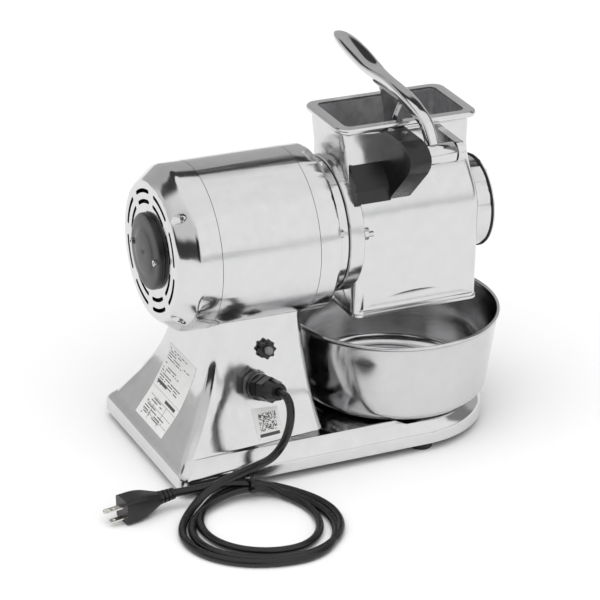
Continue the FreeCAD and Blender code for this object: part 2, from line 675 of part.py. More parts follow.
def hinge_arm(x0, x1):
    """Arm from the hopper wall out to a round knuckle on the hinge line."""
    knuckle = rod(Vector(x0, HINGE_Y, HINGE_Z), X_DIR, BARREL_R, x1 - x0)
    arm = cross_prism(((-39.0, 347.0), (-39.0, 333.0), (-60.0, 325.5), (HINGE_Y, HINGE_Z - 9.0),
                       (HINGE_Y, HINGE_Z + BARREL_R - 0.4)), x0, x1)
    arm = arm.cut(level_loft(CHANNEL_LEVELS))
    return knuckle.fuse(arm)


STUD_SPOTS = ((-66.2, 246.0), (66.2, 246.0))


def make_head_studs():
    studs = []
    for y, z in STUD_SPOTS:
        shank = rod(Vector(GASKET_X - 8.0, y, z), X_DIR, 3.0, FLANGE_X1 - GASKET_X + 19.0)
        studs.append(shank)
    return Part.makeCompound(studs)


def make_head_nuts():
    nuts = []
    for y, z in STUD_SPOTS:
        nut = hexagon(Vector(FLANGE_X1, y, z), X_DIR, 10.0, 5.0)
        nuts.append(nut.cut(rod(Vector(FLANGE_X1 - 1, y, z), X_DIR, 3.0, 8.0)))
    return Part.makeCompound(nuts)


def make_gasket():
    gasket = ring_on_shaft(GASKET_X, GASKET_X + GASKET_THICK, FLANGE_R - 1.6, 22.0)
    for y, z in STUD_SPOTS:
        gasket = gasket.cut(rod(Vector(GASKET_X - 1, y, z), X_DIR, 3.1, 5.0))
    return gasket


SEAL_THICK = 2.0
COVER_STUD_PCR = 47.25
COVER_STUD_R = 1.4
COVER_FLANGE = 1.8
COVER_X0 = BOSS_X1 + SEAL_THICK


def cover_stud_rods(radius):
    stud = rod(Vector(BOSS_X1 - 8.0, 0, AXIS_Z + COVER_STUD_PCR), X_DIR, radius, COVER_X1 - BOSS_X1 + 9.0)
    return around_shaft(stud, 3, 30.0).Solids


def make_cover_seal():
    seal = ring_on_shaft(BOSS_X1, COVER_X0, COVER_R + 0.9, 45.5)
    for hole in cover_stud_rods(COVER_STUD_R + 0.1):
        seal = seal.cut(hole)
    return seal


def make_front_cover():
    flange_x1 = COVER_X0 + COVER_FLANGE
    plate = turned(((COVER_X0, 0.0), (COVER_X0, COVER_R), (flange_x1, COVER_R), (flange_x1, 44.8),
                    (flange_x1 + 0.6, 44.0), (COVER_X1 - 0.8, 36.0), (COVER_X1, 34.0), (COVER_X1, 0.0)))
    boss = on_shaft(OUTER_BEARING_X - 2, COVER_X0 + 1, 24.0)
    plate = plate.fuse(boss).cut(on_shaft(OUTER_BEARING_X - 3, OUTER_BEARING_X + BEARING_WIDTH + 1, 20.05))
    for hole in cover_stud_rods(COVER_STUD_R + 0.1):
        plate = plate.cut(hole)
    return plate.removeSplitter()


def make_cover_screws():
    """Three low socket screws that hold the front cover."""
    base = Vector(COVER_X0 + COVER_FLANGE, 0, AXIS_Z + COVER_STUD_PCR)
    head = rod(base, X_DIR, 2.0, 1.0).cut(hexagon(base + X_DIR * 0.4, X_DIR, 1.8, 2.0))
    shank = rod(base - X_DIR * 11.0, X_DIR, COVER_STUD_R, 11.2)
    return around_shaft(head.fuse(shank), 3, 30.0)


def make_outlet_guard():
    """Rods across the outlet that keep fingers out."""
    rods = []
    for k in range(7):
        x = 58.0 + 16.5 * k
        rods.append(rod(Vector(x, -CHAMBER_R - 3, OUTLET_Z + 9.0), Y_DIR, 2.0, 2 * CHAMBER_R + 6))
    return Part.makeCompound(rods)


# ---- lever and pusher -------------------------------------------------------------------
def lever_section(x, y, z, width, thick, tilt):
    """Rounded rectangle across the lever at one station, square to the lever's run."""
    half_w = width / 2
    half_t = thick / 2
    points = []
    for k in range(12):
        angle = 2 * math.pi * (k + 0.5) / 12
        ca = math.cos(angle)
        sa = math.sin(angle)
        across = half_w * math.copysign(abs(ca) ** 0.6, ca)
        upward = half_t * math.copysign(abs(sa) ** 0.6, sa)
        points.append(Vector(x + across, y - upward * math.sin(tilt), z + upward * math.cos(tilt)))
    curve = Part.BSplineCurve()
    curve.interpolate(points, PeriodicFlag=True)
    return Part.Wire(curve.toShape())


def make_lever():
    loops = []
    last = len(LEVER_STATIONS) - 1
    for i, (shift, y, z, width, thick) in enumerate(LEVER_STATIONS):
        before = LEVER_STATIONS[max(i - 1, 0)]
        after = LEVER_STATIONS[min(i + 1, last)]
        tilt = math.atan2(after[2] - before[2], after[1] - before[1])
        loops.append(lever_section(LEVER_X + shift, y, z, width, thick, tilt))
    arm = Part.makeLoft(loops, True, False)
    barrel = rod(Vector(BARREL_X0, HINGE_Y, HINGE_Z), X_DIR, BARREL_R, BARREL_X1 - BARREL_X0)
    web = cross_prism(((-32.0, 374.0), (30.0, 379.0), (20.0, 366.0), (13.0, 352.0), (9.0, 335.0),
                       (8.5, PUSHER_PIN_Z), (-8.5, PUSHER_PIN_Z), (-8.0, 336.0), (-11.0, 350.0),
                       (-17.0, 360.0)), LEVER_X - BRANCH_THICK / 2, LEVER_X + BRANCH_THICK / 2)
    eye = rod(Vector(LEVER_X - BRANCH_THICK / 2, 0, PUSHER_PIN_Z), X_DIR, 8.5, BRANCH_THICK)
    lever = fuse_all([arm, barrel, web, eye])
    lever = lever.cut(rod(Vector(50, HINGE_Y, HINGE_Z), X_DIR, HINGE_PIN_R + 0.05, 100))
    return lever.cut(rod(Vector(50, 0, PUSHER_PIN_Z), X_DIR, PUSHER_PIN_R + 0.05, 100))


def make_hinge_pin():
    pin = rod(Vector(INNER_KNUCKLE_X0, HINGE_Y, HINGE_Z), X_DIR, HINGE_PIN_R - 0.01,
              KNUCKLE_X1 - INNER_KNUCKLE_X0 - 1.5)
    return pin


def make_pusher():
    """Press plate with stiffening ribs and two ears around the lever's eye."""
    plate = rect_prism(PUSHER_X - PUSHER_HALF_LENGTH, PUSHER_X + PUSHER_HALF_LENGTH, PUSHER_HALF_WIDTH,
                       8.0, PUSHER_BOTTOM_Z, PUSHER_BOTTOM_Z + 5.0)
    solids = [plate]
    for side in (-1, 1):
        x = LEVER_X + side * (BRANCH_THICK / 2 + 3.6)
        ear = rod(Vector(x - 2.8, 0, PUSHER_PIN_Z), X_DIR, 9.0, 5.6)
        stem = block(x - 2.8, x + 2.8, -12.0, 12.0, PUSHER_BOTTOM_Z + 2, PUSHER_PIN_Z)
        solids += [ear, stem.cut(block(x - 4, x + 4, 9, 14, PUSHER_PIN_Z - 9, PUSHER_PIN_Z + 1))]
        rib_x0 = x if side > 0 else PUSHER_X - PUSHER_HALF_LENGTH + 6
        rib_x1 = PUSHER_X + PUSHER_HALF_LENGTH - 6 if side > 0 else x
        solids.append(block(rib_x0, rib_x1, -2.5, 2.5, PUSHER_BOTTOM_Z + 3, PUSHER_BOTTOM_Z + 12.0))
    pusher = fuse_all(solids)
    return pusher.cut(rod(Vector(50, 0, PUSHER_PIN_Z), X_DIR, PUSHER_PIN_R, 100))


def make_pusher_pin():
    return rod(Vector(LEVER_X - BRANCH_THICK / 2 - 7.5, 0, PUSHER_PIN_Z), X_DIR, PUSHER_PIN_R - 0.01,
               BRANCH_THICK + 15.0)


# ---- interlock housing beside the hinge -------------------------------------------------
CHEEK_X0 = 70.0
CHEEK_X1 = 94.0
BLOCK_X0 = 33.5
COVER_WALL = 2.4
COVER_TOP_Z = 351.0
HEAD_GAP = 0.2
CHEEK_PROFILE = ((-36.0, 279.0), (-36.0, COVER_TOP_Z), (-84.0, COVER_TOP_Z), (-94.0, 349.8), (-102.0, 346.0),
                 (-107.5, 340.5), (-109.0, 335.0), (-107.5, 328.5), (-102.0, 320.0), (-64.0, 281.0),
                 (-60.5, 279.0))
CHEEK_ROOM = ((-30.0, 283.0), (-30.0, 348.6), (-83.5, 348.6), (-93.0, 347.4), (-100.4, 344.0),
              (-105.2, 339.6), (-106.6, 335.0), (-105.2, 329.4), (-100.0, 321.4), (-63.0, 283.4))
BLOCK_PROFILE = ((-36.0, 279.0), (-36.0, 314.5), (-43.5, 314.5), (-61.5, 297.0), (-63.5, 293.0),
                 (-63.5, 279.0))
BLOCK_ROOM = ((-30.0, 281.4), (-30.0, 311.8), (-42.6, 311.8), (-59.8, 295.6), (-61.1, 292.4),
              (-61.1, 281.4))


def head_clearance():
    """The head's outside grown by a hair, so that the cover sits just clear of it."""
    grown = [(z, x0 - HEAD_GAP, x1 + HEAD_GAP, half + HEAD_GAP, corner)
             for z, x0, x1, half, corner in HEAD_LEVELS]
    return level_loft(grown)


def make_interlock_cover():
    """Plastic shell around the hinge's rear half: a rounded cheek and a low block behind it."""
    cheek = cross_prism(CHEEK_PROFILE, CHEEK_X0, CHEEK_X1)
    low = cross_prism(BLOCK_PROFILE, BLOCK_X0, CHEEK_X0 + 2)
    rooms = [
        head_clearance(),
        rect_prism(RIM_X0, RIM_X1, RIM_HALF_WIDTH + HEAD_GAP, 14.0,
                   HOPPER_TOP_Z - RIM_THICK - HEAD_GAP, HOPPER_TOP_Z),
        rod(Vector(INNER_KNUCKLE_X0 - 1.0, HINGE_Y, HINGE_Z), X_DIR, BARREL_R + 0.6, 30.0),
        on_shaft(GASKET_X, FLANGE_X1 + HEAD_GAP, FLANGE_R + HEAD_GAP),
        cross_prism(CHEEK_ROOM, CHEEK_X0 + COVER_WALL, CHEEK_X1 + 10),
        cross_prism(BLOCK_ROOM, BLOCK_X0 + COVER_WALL, CHEEK_X0 + 10),
    ]
    cover = cheek.fuse(low)
    for room in rooms + cover_screw_rods(2.1, 14.0, 4.0):
        cover = cover.cut(room)
    return cover.removeSplitter()


COVER_SCREW_SPOTS = ((75.0, -52.5), (84.5, -64.0))


def cover_screw_rods(radius, depth, above):
    return [rod(Vector(x, y, COVER_TOP_Z - depth), Z_DIR, radius, depth + above)
            for x, y in COVER_SCREW_SPOTS]


def make_interlock_screws():
    screws = []
    for x, y in COVER_SCREW_SPOTS:
        head = Part.makeCylinder(3.4, 1.6, Vector(x, y, COVER_TOP_Z))
        shank = Part.makeCylinder(1.95, 3.0, Vector(x, y, COVER_TOP_Z - 3.0))
        slot = block(x - 4, x + 4, y - 0.5, y + 0.5, COVER_TOP_Z + 0.8, COVER_TOP_Z + 2.5)
        screws.append(head.fuse(shank).cut(slot))
    return Part.makeCompound(screws)


def make_interlock_sensor():
    return block(76.0, 91.0, -68.0, -50.0, 297.0, 318.0)


# ---- bowl -------------------------------------------------------------------------------
def make_bowl():
    floor_z = PAN_FLOOR_Z + BOWL_CLEAR
    centre = Vector(BOWL_X, 0, 0)
    steps = 6
    outer = [(floor_z, 0.0), (floor_z, BOWL_FOOT_R)]
    inner = [(floor_z + BOWL_WALL, 0.0), (floor_z + BOWL_WALL, BOWL_FOOT_R)]
    corner_w = BOWL_CORNER_R - BOWL_FOOT_R
    corner_h = BOWL_CORNER_Z - floor_z
    for k in range(1, steps + 1):
        angle = math.radians(82.0 * k / steps)
        reach = math.sin(angle) / math.sin(math.radians(82.0))
        rise = (1 - math.cos(angle)) / (1 - math.cos(math.radians(82.0)))
        outer.append((floor_z + corner_h * rise, BOWL_FOOT_R + corner_w * reach))
        inner.append((floor_z + BOWL_WALL + (corner_h - BOWL_WALL) * rise,
                      BOWL_FOOT_R + (corner_w - BOWL_WALL) * reach))
    outer.append((BOWL_RIM_Z, BOWL_RIM_R))
    inner.append((BOWL_RIM_Z, BOWL_RIM_R - BOWL_WALL))
    shell = turned(outer + inner[::-1], centre, Z_DIR, X_DIR)
    bead = Part.makeTorus(BOWL_RIM_R, BOWL_RIM_BEAD, Vector(BOWL_X, 0, BOWL_RIM_Z))
    return shell.fuse(bead)


# ---- electrical parts -------------------------------------------------------------------
def make_gland_body():
    body = fuse_all([
        rod(GLAND_AT - GLAND_DIR * 13, GLAND_DIR, 9.9, 16.0),
        rod(GLAND_AT + GLAND_DIR * 0.6, GLAND_DIR, 14.2, 3.4),
        hexagon(GLAND_AT + GLAND_DIR * 4, GLAND_DIR, 24.5, 8.0),
        rod(GLAND_AT + GLAND_DIR * 12, GLAND_DIR, 10.5, 4.0),
    ])
    return body.cut(rod(GLAND_AT - GLAND_DIR * 20, GLAND_DIR, CORD_R + 0.4, 60))


def make_gland_nut():
    start = GLAND_AT + GLAND_DIR * 16
    nut = fuse_all([
        hexagon(start, GLAND_DIR, 24.0, 12.0),
        Part.makeCone(12.0, 9.0, GLAND_LENGTH - 28.0, start + GLAND_DIR * 12, GLAND_DIR),
    ])
    return nut.cut(rod(start - GLAND_DIR, GLAND_DIR, CORD_R + 0.4, 60))


def make_gland_locknut():
    start = GLAND_AT - GLAND_DIR * (WALL + 7.5)
    return hexagon(start, GLAND_DIR, 26.0, 5.0).cut(rod(start - GLAND_DIR, GLAND_DIR, 9.95, 8.0))


def make_button_nut():
    """Star-shaped panel nut around the reset button."""
    nut = rod(BUTTON_AT + BUTTON_DIR * 0.9, BUTTON_DIR, 8.4, 4.6)
    star = []
    for k in range(8):
        lobe = rod(BUTTON_AT + BUTTON_DIR * 0.9, BUTTON_DIR, 1.9, 4.6)
        offset = Vector(8.3 * math.cos(math.radians(45 * k)), 8.3 * math.sin(math.radians(45 * k)), 0)
        lobe.translate(Rotation(Z_DIR, BUTTON_DIR).multVec(offset))
        star.append(lobe)
    nut = fuse_all([nut] + star)
    return nut.cut(rod(BUTTON_AT - BUTTON_DIR, BUTTON_DIR, 6.0, 12.0))


def make_button_body():
    sleeve = rod(BUTTON_AT - BUTTON_DIR * 10, BUTTON_DIR, 5.95, 15.2)
    box = rod(BUTTON_AT - BUTTON_DIR * 28, BUTTON_DIR, 11.0, 18.0)
    return sleeve.fuse(box).cut(rod(BUTTON_AT - BUTTON_DIR * 4, BUTTON_DIR, 4.3, 30.0))


def make_button_cap():
    stem = rod(BUTTON_AT + BUTTON_DIR * 1.5, BUTTON_DIR, 4.1, 8.0)
    dome = Part.makeSphere(4.6, BUTTON_AT + BUTTON_DIR * 8.4)
    front = rod(BUTTON_AT + BUTTON_DIR * 7.9, BUTTON_DIR, 6.0, 8.0)
    return stem.fuse(dome.common(front))


def make_switch_plate():
    plate = switch_block(1.1, 4.9, 23.0, 39.0)
    upright = [e for e in plate.Edges if abs(e.Length - 3.8) < 0.01]
    plate = plate.makeFillet(5.0, upright)
    for y in (-17.0, 17.0):
        plate = plate.cut(switch_rod((0.0, y), 0.0, 8.0, 11.2))
    return plate


def make_switch_body():
    box = switch_block(-28.0, 1.0, 19.0, 35.0)
    for y in (-17.0, 17.0):
        box = box.cut(switch_rod((0.0, y), -6.0, 8.0, 11.2))
    return box


def make_push_button(y, proud):
    cap = switch_rod((0.0, y), -1.5, proud, 10.8)
    rim = [e for e in cap.Edges if e.Length > 40.0]
    rim.sort(key=lambda e: (e.CenterOfMass - SWITCH_AT).dot(SWITCH_DIR))
    return cap.makeFillet(1.2, [rim[-1]])


def make_capacitor():
    foot = Vector(-104.0, -12.0, FOOT_HEIGHT + 2.0)
    body = Part.makeCylinder(20.0, 78.0, foot)
    return body.fuse(Part.makeCylinder(6.0, 6.0, foot + Z_DIR * 78.0))


def make_terminal_block():
    base = block(-60.0, -36.0, -34.0, 26.0, FOOT_HEIGHT + 2.0, FOOT_HEIGHT + 18.0)
    for k in range(5):
        screw_hole = Part.makeCylinder(2.4, 10.0, Vector(-48.0, -28.0 + 12.0 * k, FOOT_HEIGHT + 12.0))
        base = base.cut(screw_hole)
    return base


# ---- stickers ---------------------------------------------------------------------------
STICKER_THICK = 0.35
RATING_OUTLINE = ((38.0, 108.5), (-32.0, 108.5), (-35.0, 65.0), (37.0, 65.0))
TABLE_OUTLINE = ((37.0, 64.4), (-35.0, 64.4), (-33.0, 35.0), (39.0, 35.0))
CODE_OUTLINE = ((-86.0, 71.5), (-55.5, 68.5), (-51.5, 38.6), (-82.5, 40.6))


def sticker_from(prism):
    """A thin label that follows the pedestal's wall."""
    skin = pedestal_loft(STICKER_THICK).cut(pedestal_loft(0.04))
    return max(skin.common(prism).Solids, key=lambda s: s.Volume)


def make_rear_sticker(outline):
    return sticker_from(cross_prism(outline, BASE_REAR_X - 5, -60.0))


def make_code_sticker():
    points = [Vector(x, -120.0, z) for x, z in CODE_OUTLINE]
    return sticker_from(Part.Face(polygon(points)).extrude(Vector(0, 100, 0)))


# ---- mains cord -------------------------------------------------------------------------
GLAND_END = GLAND_AT + GLAND_DIR * GLAND_LENGTH
CORD_START = GLAND_END - GLAND_DIR * 8.0
# the drop from the gland to the tied coil, which lies beside the base
DROP_ROUTE = (
    CORD_START,
    Vector(-68.5, -115.8, 106.8),
    Vector(-70.5, -135.0, 103.0),
    Vector(-76.5, -149.3, 90.5),
    Vector(-86.0, -155.5, 72.5),
    Vector(-97.5, -150.3, 53.5),
    Vector(-108.7, -134.0, 39.5),
    Vector(-121.0, -123.0, 31.0),
)
# the lead from the coil to the plug
LEAD_ROUTE = (
    Vector(-131.0, -125.5, 22.5),
    Vector(-151.0, -125.2, 21.8),
    Vector(-171.0, -122.0, 19.6),
    Vector(-192.0, -117.0, 17.0),
)
COIL_CENTRE = Vector(-128.0, -196.0, 0.0)
COIL_OUTER = (87.0, 80.0)           # half lengths along X and Y
COIL_INNER = (56.0, 53.0)
COIL_TOP_Z = 15.0
COIL_FLOOR_GAP = 0.2
BUNDLE_Y = -124.5                   # where the turns are tied together
BUNDLE_Z = 20.5
BUNDLE_R = 11.0
BUNDLE_X0 = -141.0
BUNDLE_X1 = -92.0
TIE_X = -112.0
PLUG_DIR = (Vector(-250.0, -125.0, 14.2) - LEAD_ROUTE[-1]).normalize()
PLUG_RELIEF = 21.0
PLUG_LENGTH = 60.0
BLADE_SPACING = 12.7
EARTH_OFFSET = 11.9


def rounded_path(points):
    """Straight runs joined by tangent arcs, each as large as its two runs allow."""
    edges = []
    radii = []
    cursor = points[0]
    for i in range(1, len(points) - 1):
        before = points[i] - points[i - 1]
        after = points[i + 1] - points[i]
        turn = before.getAngle(after)
        reach = 0.45 * min(before.Length, after.Length)
        before.normalize()
        after.normalize()
        radius = reach / math.tan(turn / 2)
        start = points[i] - before * reach
        stop = points[i] + after * reach
        inward = (after - before).normalize()
        middle = points[i] + inward * (radius / math.cos(turn / 2) - radius)
        edges.append(Part.LineSegment(cursor, start).toShape())
        edges.append(Part.Arc(start, middle, stop).toShape())
        radii.append(radius)
        cursor = stop
    edges.append(Part.LineSegment(cursor, points[-1]).toShape())
    return Part.Wire(edges), radii


def make_tube(name, points):
    path, radii = rounded_path(points)
    along = points[1] - points[0]
    section = Part.Wire(Part.makeCircle(CORD_R, points[0], along))
    tube = path.makePipeShell([section], True, False)
    expected = math.pi * CORD_R ** 2 * path.Length
    print(name, "length %.1f" % path.Length, "radii", ["%.0f" % r for r in radii],
          "volume ratio %.4f" % (tube.Volume / expected))
    return tube


def ellipse_prism(halves, z0, z1):
    ellipse = Part.Ellipse(COIL_CENTRE + Z_DIR * z0, halves[0], halves[1])
    return Part.Face(Part.Wire(ellipse.toShape())).extrude(Vector(0, 0, z1 - z0))


def make_coil():
    """Outer shape of the three loose turns, thicker where they are tied together."""
    ring = ellipse_prism(COIL_OUTER, COIL_FLOOR_GAP, COIL_TOP_Z)
    ring = ring.cut(ellipse_prism(COIL_INNER, -1.0, COIL_TOP_Z + 1))
    bundle = rod(Vector(BUNDLE_X0, BUNDLE_Y, BUNDLE_Z), X_DIR, BUNDLE_R, BUNDLE_X1 - BUNDLE_X0)
    left = Part.makeCone(BUNDLE_R, 5.5, 22.0, Vector(BUNDLE_X0, BUNDLE_Y, BUNDLE_Z), Vector(-1, -0.12, -0.5))
    right = Part.makeCone(BUNDLE_R, 5.5, 26.0, Vector(BUNDLE_X1, BUNDLE_Y, BUNDLE_Z), Vector(1, -0.35, -0.5))
    return fuse_all([ring, bundle, left, right])


def make_tie():
    """Cable tie round the bundle, with its square head and cut tail below."""
    band = rod(Vector(TIE_X - 1.8, BUNDLE_Y, BUNDLE_Z), X_DIR, BUNDLE_R + 1.4, 3.6)
    band = band.cut(rod(Vector(TIE_X - 3, BUNDLE_Y, BUNDLE_Z), X_DIR, BUNDLE_R + 0.02, 6.0))
    head_at = Vector(TIE_X, BUNDLE_Y - BUNDLE_R * 0.80 - 1.2, BUNDLE_Z - BUNDLE_R * 0.60 - 0.8)
    head = Part.makeBox(5.0, 5.0, 4.4, head_at + Vector(-2.5, -4.2, -2.2))
    return band.fuse(head)


def plug_frame():
    """Plug axes: local Z runs from the cord to the face, local Y is level, towards the base."""
    level = Z_DIR.cross(PLUG_DIR).normalize() * -1
    upward = level.cross(PLUG_DIR)
    return Placement(LEAD_ROUTE[-1], Rotation(upward, level, PLUG_DIR, "ZYX"))


def make_plug_body():
    loops = []
    for z, half_x, half_y, corner in ((16.0, 6.2, 6.2, 4.5), (24.0, 8.5, 8.0, 4.5), (36.0, 12.0, 11.0, 4.5),
                                      (46.0, 13.0, 12.2, 4.0), (PLUG_LENGTH, 13.2, 12.4, 4.0)):
        loops.append(rect_loop(-half_x, half_x, half_y, corner, z))
    body = Part.makeLoft(loops, True, False)
    relief = Part.makeCone(6.0, 7.2, PLUG_RELIEF - 3.0, Vector(0, 0, 0), Z_DIR)
    for k in range(3):
        groove = Part.makeCylinder(9.0, 2.0, Vector(0, 0, 3.2 + 4.6 * k))
        relief = relief.cut(groove.cut(Part.makeCylinder(5.2, 3.0, Vector(0, 0, 3.0 + 4.6 * k))))
    body = body.fuse(relief)
    body.Placement = plug_frame()
    return body


def make_plug_pins():
    pins = []
    for side in (-1, 1):
        x = side * BLADE_SPACING / 2
        blade = Part.makeBox(1.5, 6.4, 17.5, Vector(x - 0.75, -7.2, PLUG_LENGTH - 0.8))
        hole = rod(Vector(x - 2, -4.0, PLUG_LENGTH + 12.0), X_DIR, 1.6, 4.0)
        pins.append(blade.cut(hole))
    earth_y = -4.0 + EARTH_OFFSET - 0.9
    earth = Part.makeCylinder(2.4, 17.0, Vector(0, earth_y, PLUG_LENGTH - 0.8))
    pins.append(earth.fuse(Part.makeSphere(2.4, Vector(0, earth_y, PLUG_LENGTH + 16.2))))
    group = Part.makeCompound(pins)
    group.Placement = plug_frame()
    return group


# ---- write every node -------------------------------------------------------------------
def main():
    os.makedirs("parts", exist_ok=True)
    drum, teeth = make_drum()
    nodes = {
        "base_casting": make_base(),
        "bottom_cover": make_bottom_cover(),
        "rubber_feet": make_feet(),
        "foot_screws": make_foot_screws(),
        "motor_rear_cap": make_rear_cap(),
        "rear_cap_screws": make_cap_screws(),
        "rear_disc": make_rear_disc(),
        "rear_disc_screws": make_disc_screws(),
        "motor_sleeve": make_sleeve(),
        "motor_front_ring": make_front_ring(),
        "saddle_bolts": make_saddle_bolts(),
        "front_ring_bolts": make_ring_bolts(),
        "stator_core": make_stator(),
        "stator_windings": make_windings(),
        "rear_bearing": bearing(REAR_BEARING_X, 20.0, 8.03, BEARING_WIDTH),
        "front_bearing": bearing(FRONT_BEARING_X, 20.0, 10.03, BEARING_WIDTH),
        "outer_bearing": bearing(OUTER_BEARING_X, 20.0, 8.03, BEARING_WIDTH),
        "neck_gasket": make_gasket(),
        "head_casting": make_head(),
        "head_studs": make_head_studs(),
        "head_nuts": make_head_nuts(),
        "cover_seal": make_cover_seal(),
        "front_cover": make_front_cover(),
        "cover_screws": make_cover_screws(),
        "outlet_guard": make_outlet_guard(),
        "hinge_pin": make_hinge_pin(),
        "interlock_cover": make_interlock_cover(),
        "interlock_screws": make_interlock_screws(),
        "interlock_sensor": make_interlock_sensor(),
        "gland_body": make_gland_body(),
        "gland_nut": make_gland_nut(),
        "gland_locknut": make_gland_locknut(),
        "reset_button_nut": make_button_nut(),
        "reset_button_body": make_button_body(),
        "switch_plate": make_switch_plate(),
        "switch_body": make_switch_body(),
        "capacitor": make_capacitor(),
        "terminal_block": make_terminal_block(),
        "rating_sticker": make_rear_sticker(RATING_OUTLINE),
        "table_sticker": make_rear_sticker(TABLE_OUTLINE),
        "code_sticker": make_code_sticker(),
        "lever": make_lever(),
        "pusher_plate": make_pusher(),
        "pusher_pin": make_pusher_pin(),
        "drive_shaft": make_shaft(),
        "shaft_key": block(80.1, 139.9, -2.98, 2.98, AXIS_Z + 6.55, AXIS_Z + 12.9),
        "grating_drum": drum,
        "drum_teeth": Part.makeCompound(teeth),
        "rotor_core": ring_on_shaft(STATOR_X0, STATOR_X1, ROTOR_R, SHAFT_R + 0.01),
        "cooling_fan": make_fan(),
        "bowl": make_bowl(),
        "reset_button": make_button_cap(),
        "start_button": make_push_button(17.0, 7.0),
        "stop_button": make_push_button(-17.0, 9.5),
        "cord_drop": make_tube("cord_drop", DROP_ROUTE),
        "cord_lead": make_tube("cord_lead", LEAD_ROUTE),
        "cord_coil": make_coil(),
        "cord_tie": make_tie(),
        "plug_body": make_plug_body(),
        "plug_pins": make_plug_pins(),
    }
    for name, shape in nodes.items():
        box = save(name, shape).BoundBox
        print("%-18s solids %3d valid %s vol %9.0f  x %.1f %.1f  y %.1f %.1f  z %.1f %.1f" % (
            name, len(shape.Solids), shape.isValid(), shape.Volume,
            box.XMin, box.XMax, box.YMin, box.YMax, box.ZMin, box.ZMax))


main()
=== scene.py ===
import json
import math

import bmesh
import bpy
from mathutils import Matrix, Vector

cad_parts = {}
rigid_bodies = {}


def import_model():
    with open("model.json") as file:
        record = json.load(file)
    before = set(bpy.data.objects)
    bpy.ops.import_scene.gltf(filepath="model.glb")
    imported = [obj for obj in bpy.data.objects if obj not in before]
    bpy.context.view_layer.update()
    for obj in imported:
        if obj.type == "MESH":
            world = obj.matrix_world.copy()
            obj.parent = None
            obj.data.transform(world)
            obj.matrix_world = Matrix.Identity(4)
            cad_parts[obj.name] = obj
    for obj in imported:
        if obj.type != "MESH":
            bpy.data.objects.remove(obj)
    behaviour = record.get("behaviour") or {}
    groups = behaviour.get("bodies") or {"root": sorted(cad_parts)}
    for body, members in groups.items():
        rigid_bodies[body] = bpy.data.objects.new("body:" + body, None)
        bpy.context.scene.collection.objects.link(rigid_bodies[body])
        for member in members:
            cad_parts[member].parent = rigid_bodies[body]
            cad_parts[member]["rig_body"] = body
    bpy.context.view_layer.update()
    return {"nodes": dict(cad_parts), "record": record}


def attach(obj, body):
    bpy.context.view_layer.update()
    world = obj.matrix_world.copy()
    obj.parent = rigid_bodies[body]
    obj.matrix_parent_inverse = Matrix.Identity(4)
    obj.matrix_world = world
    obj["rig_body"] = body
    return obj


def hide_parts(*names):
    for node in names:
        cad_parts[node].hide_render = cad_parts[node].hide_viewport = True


# A bench-top rotary grater and ice shaver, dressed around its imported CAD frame.
# Blender's lengths are metres, in the row frame: +Z up, +X from the motor to the drum, cord on the
# -Y side. The values below are millimetres of the machine's drawing, unless a comment says otherwise.

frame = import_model()
nodes = frame["nodes"]
MM = 0.001
ORIGIN = Vector((23.1, 9.9, 0.0))       # where the row frame's origin lies in the drawing


def at(x, y, z):
    """A point of the machine's drawing, in millimetres, as a point of the row frame."""
    return (Vector((x, y, z)) - ORIGIN) * MM


# ---- camera ----------------------------------------------------------------------------
# metres, degrees, and the lens in millimetres
CAMERA_EYE = (-1.2744, -2.6719, 1.4998)
CAMERA_TARGET = (-0.02225, -0.0099, 0.1508)
CAMERA_AZIMUTH = -25.19
CAMERA_ROLL = 1.3
CAMERA_LENS = 183.6
SENSOR_WIDTH = 36.0


def place_camera():
    azimuth = math.radians(CAMERA_AZIMUTH)
    roll = math.radians(CAMERA_ROLL)
    eye = Vector(CAMERA_EYE)
    target = Vector(CAMERA_TARGET)
    forward = (target - eye).normalized()
    side = Vector((math.cos(azimuth), math.sin(azimuth), 0.0))
    up = side.cross(forward)
    right = side * math.cos(roll) + up * math.sin(roll)
    top = up * math.cos(roll) - side * math.sin(roll)
    camera = bpy.data.objects.new("camera", bpy.data.cameras.new("camera"))
    bpy.context.scene.collection.objects.link(camera)
    camera.matrix_world = Matrix((
        (right.x, top.x, -forward.x, eye.x),
        (right.y, top.y, -forward.y, eye.y),
        (right.z, top.z, -forward.z, eye.z),
        (0.0, 0.0, 0.0, 1.0),
    ))
    camera.data.lens = CAMERA_LENS
    camera.data.sensor_width = SENSOR_WIDTH
    camera.data.clip_end = 100.0
    bpy.context.scene.camera = camera
    bpy.context.scene.view_settings.view_transform = "Standard"


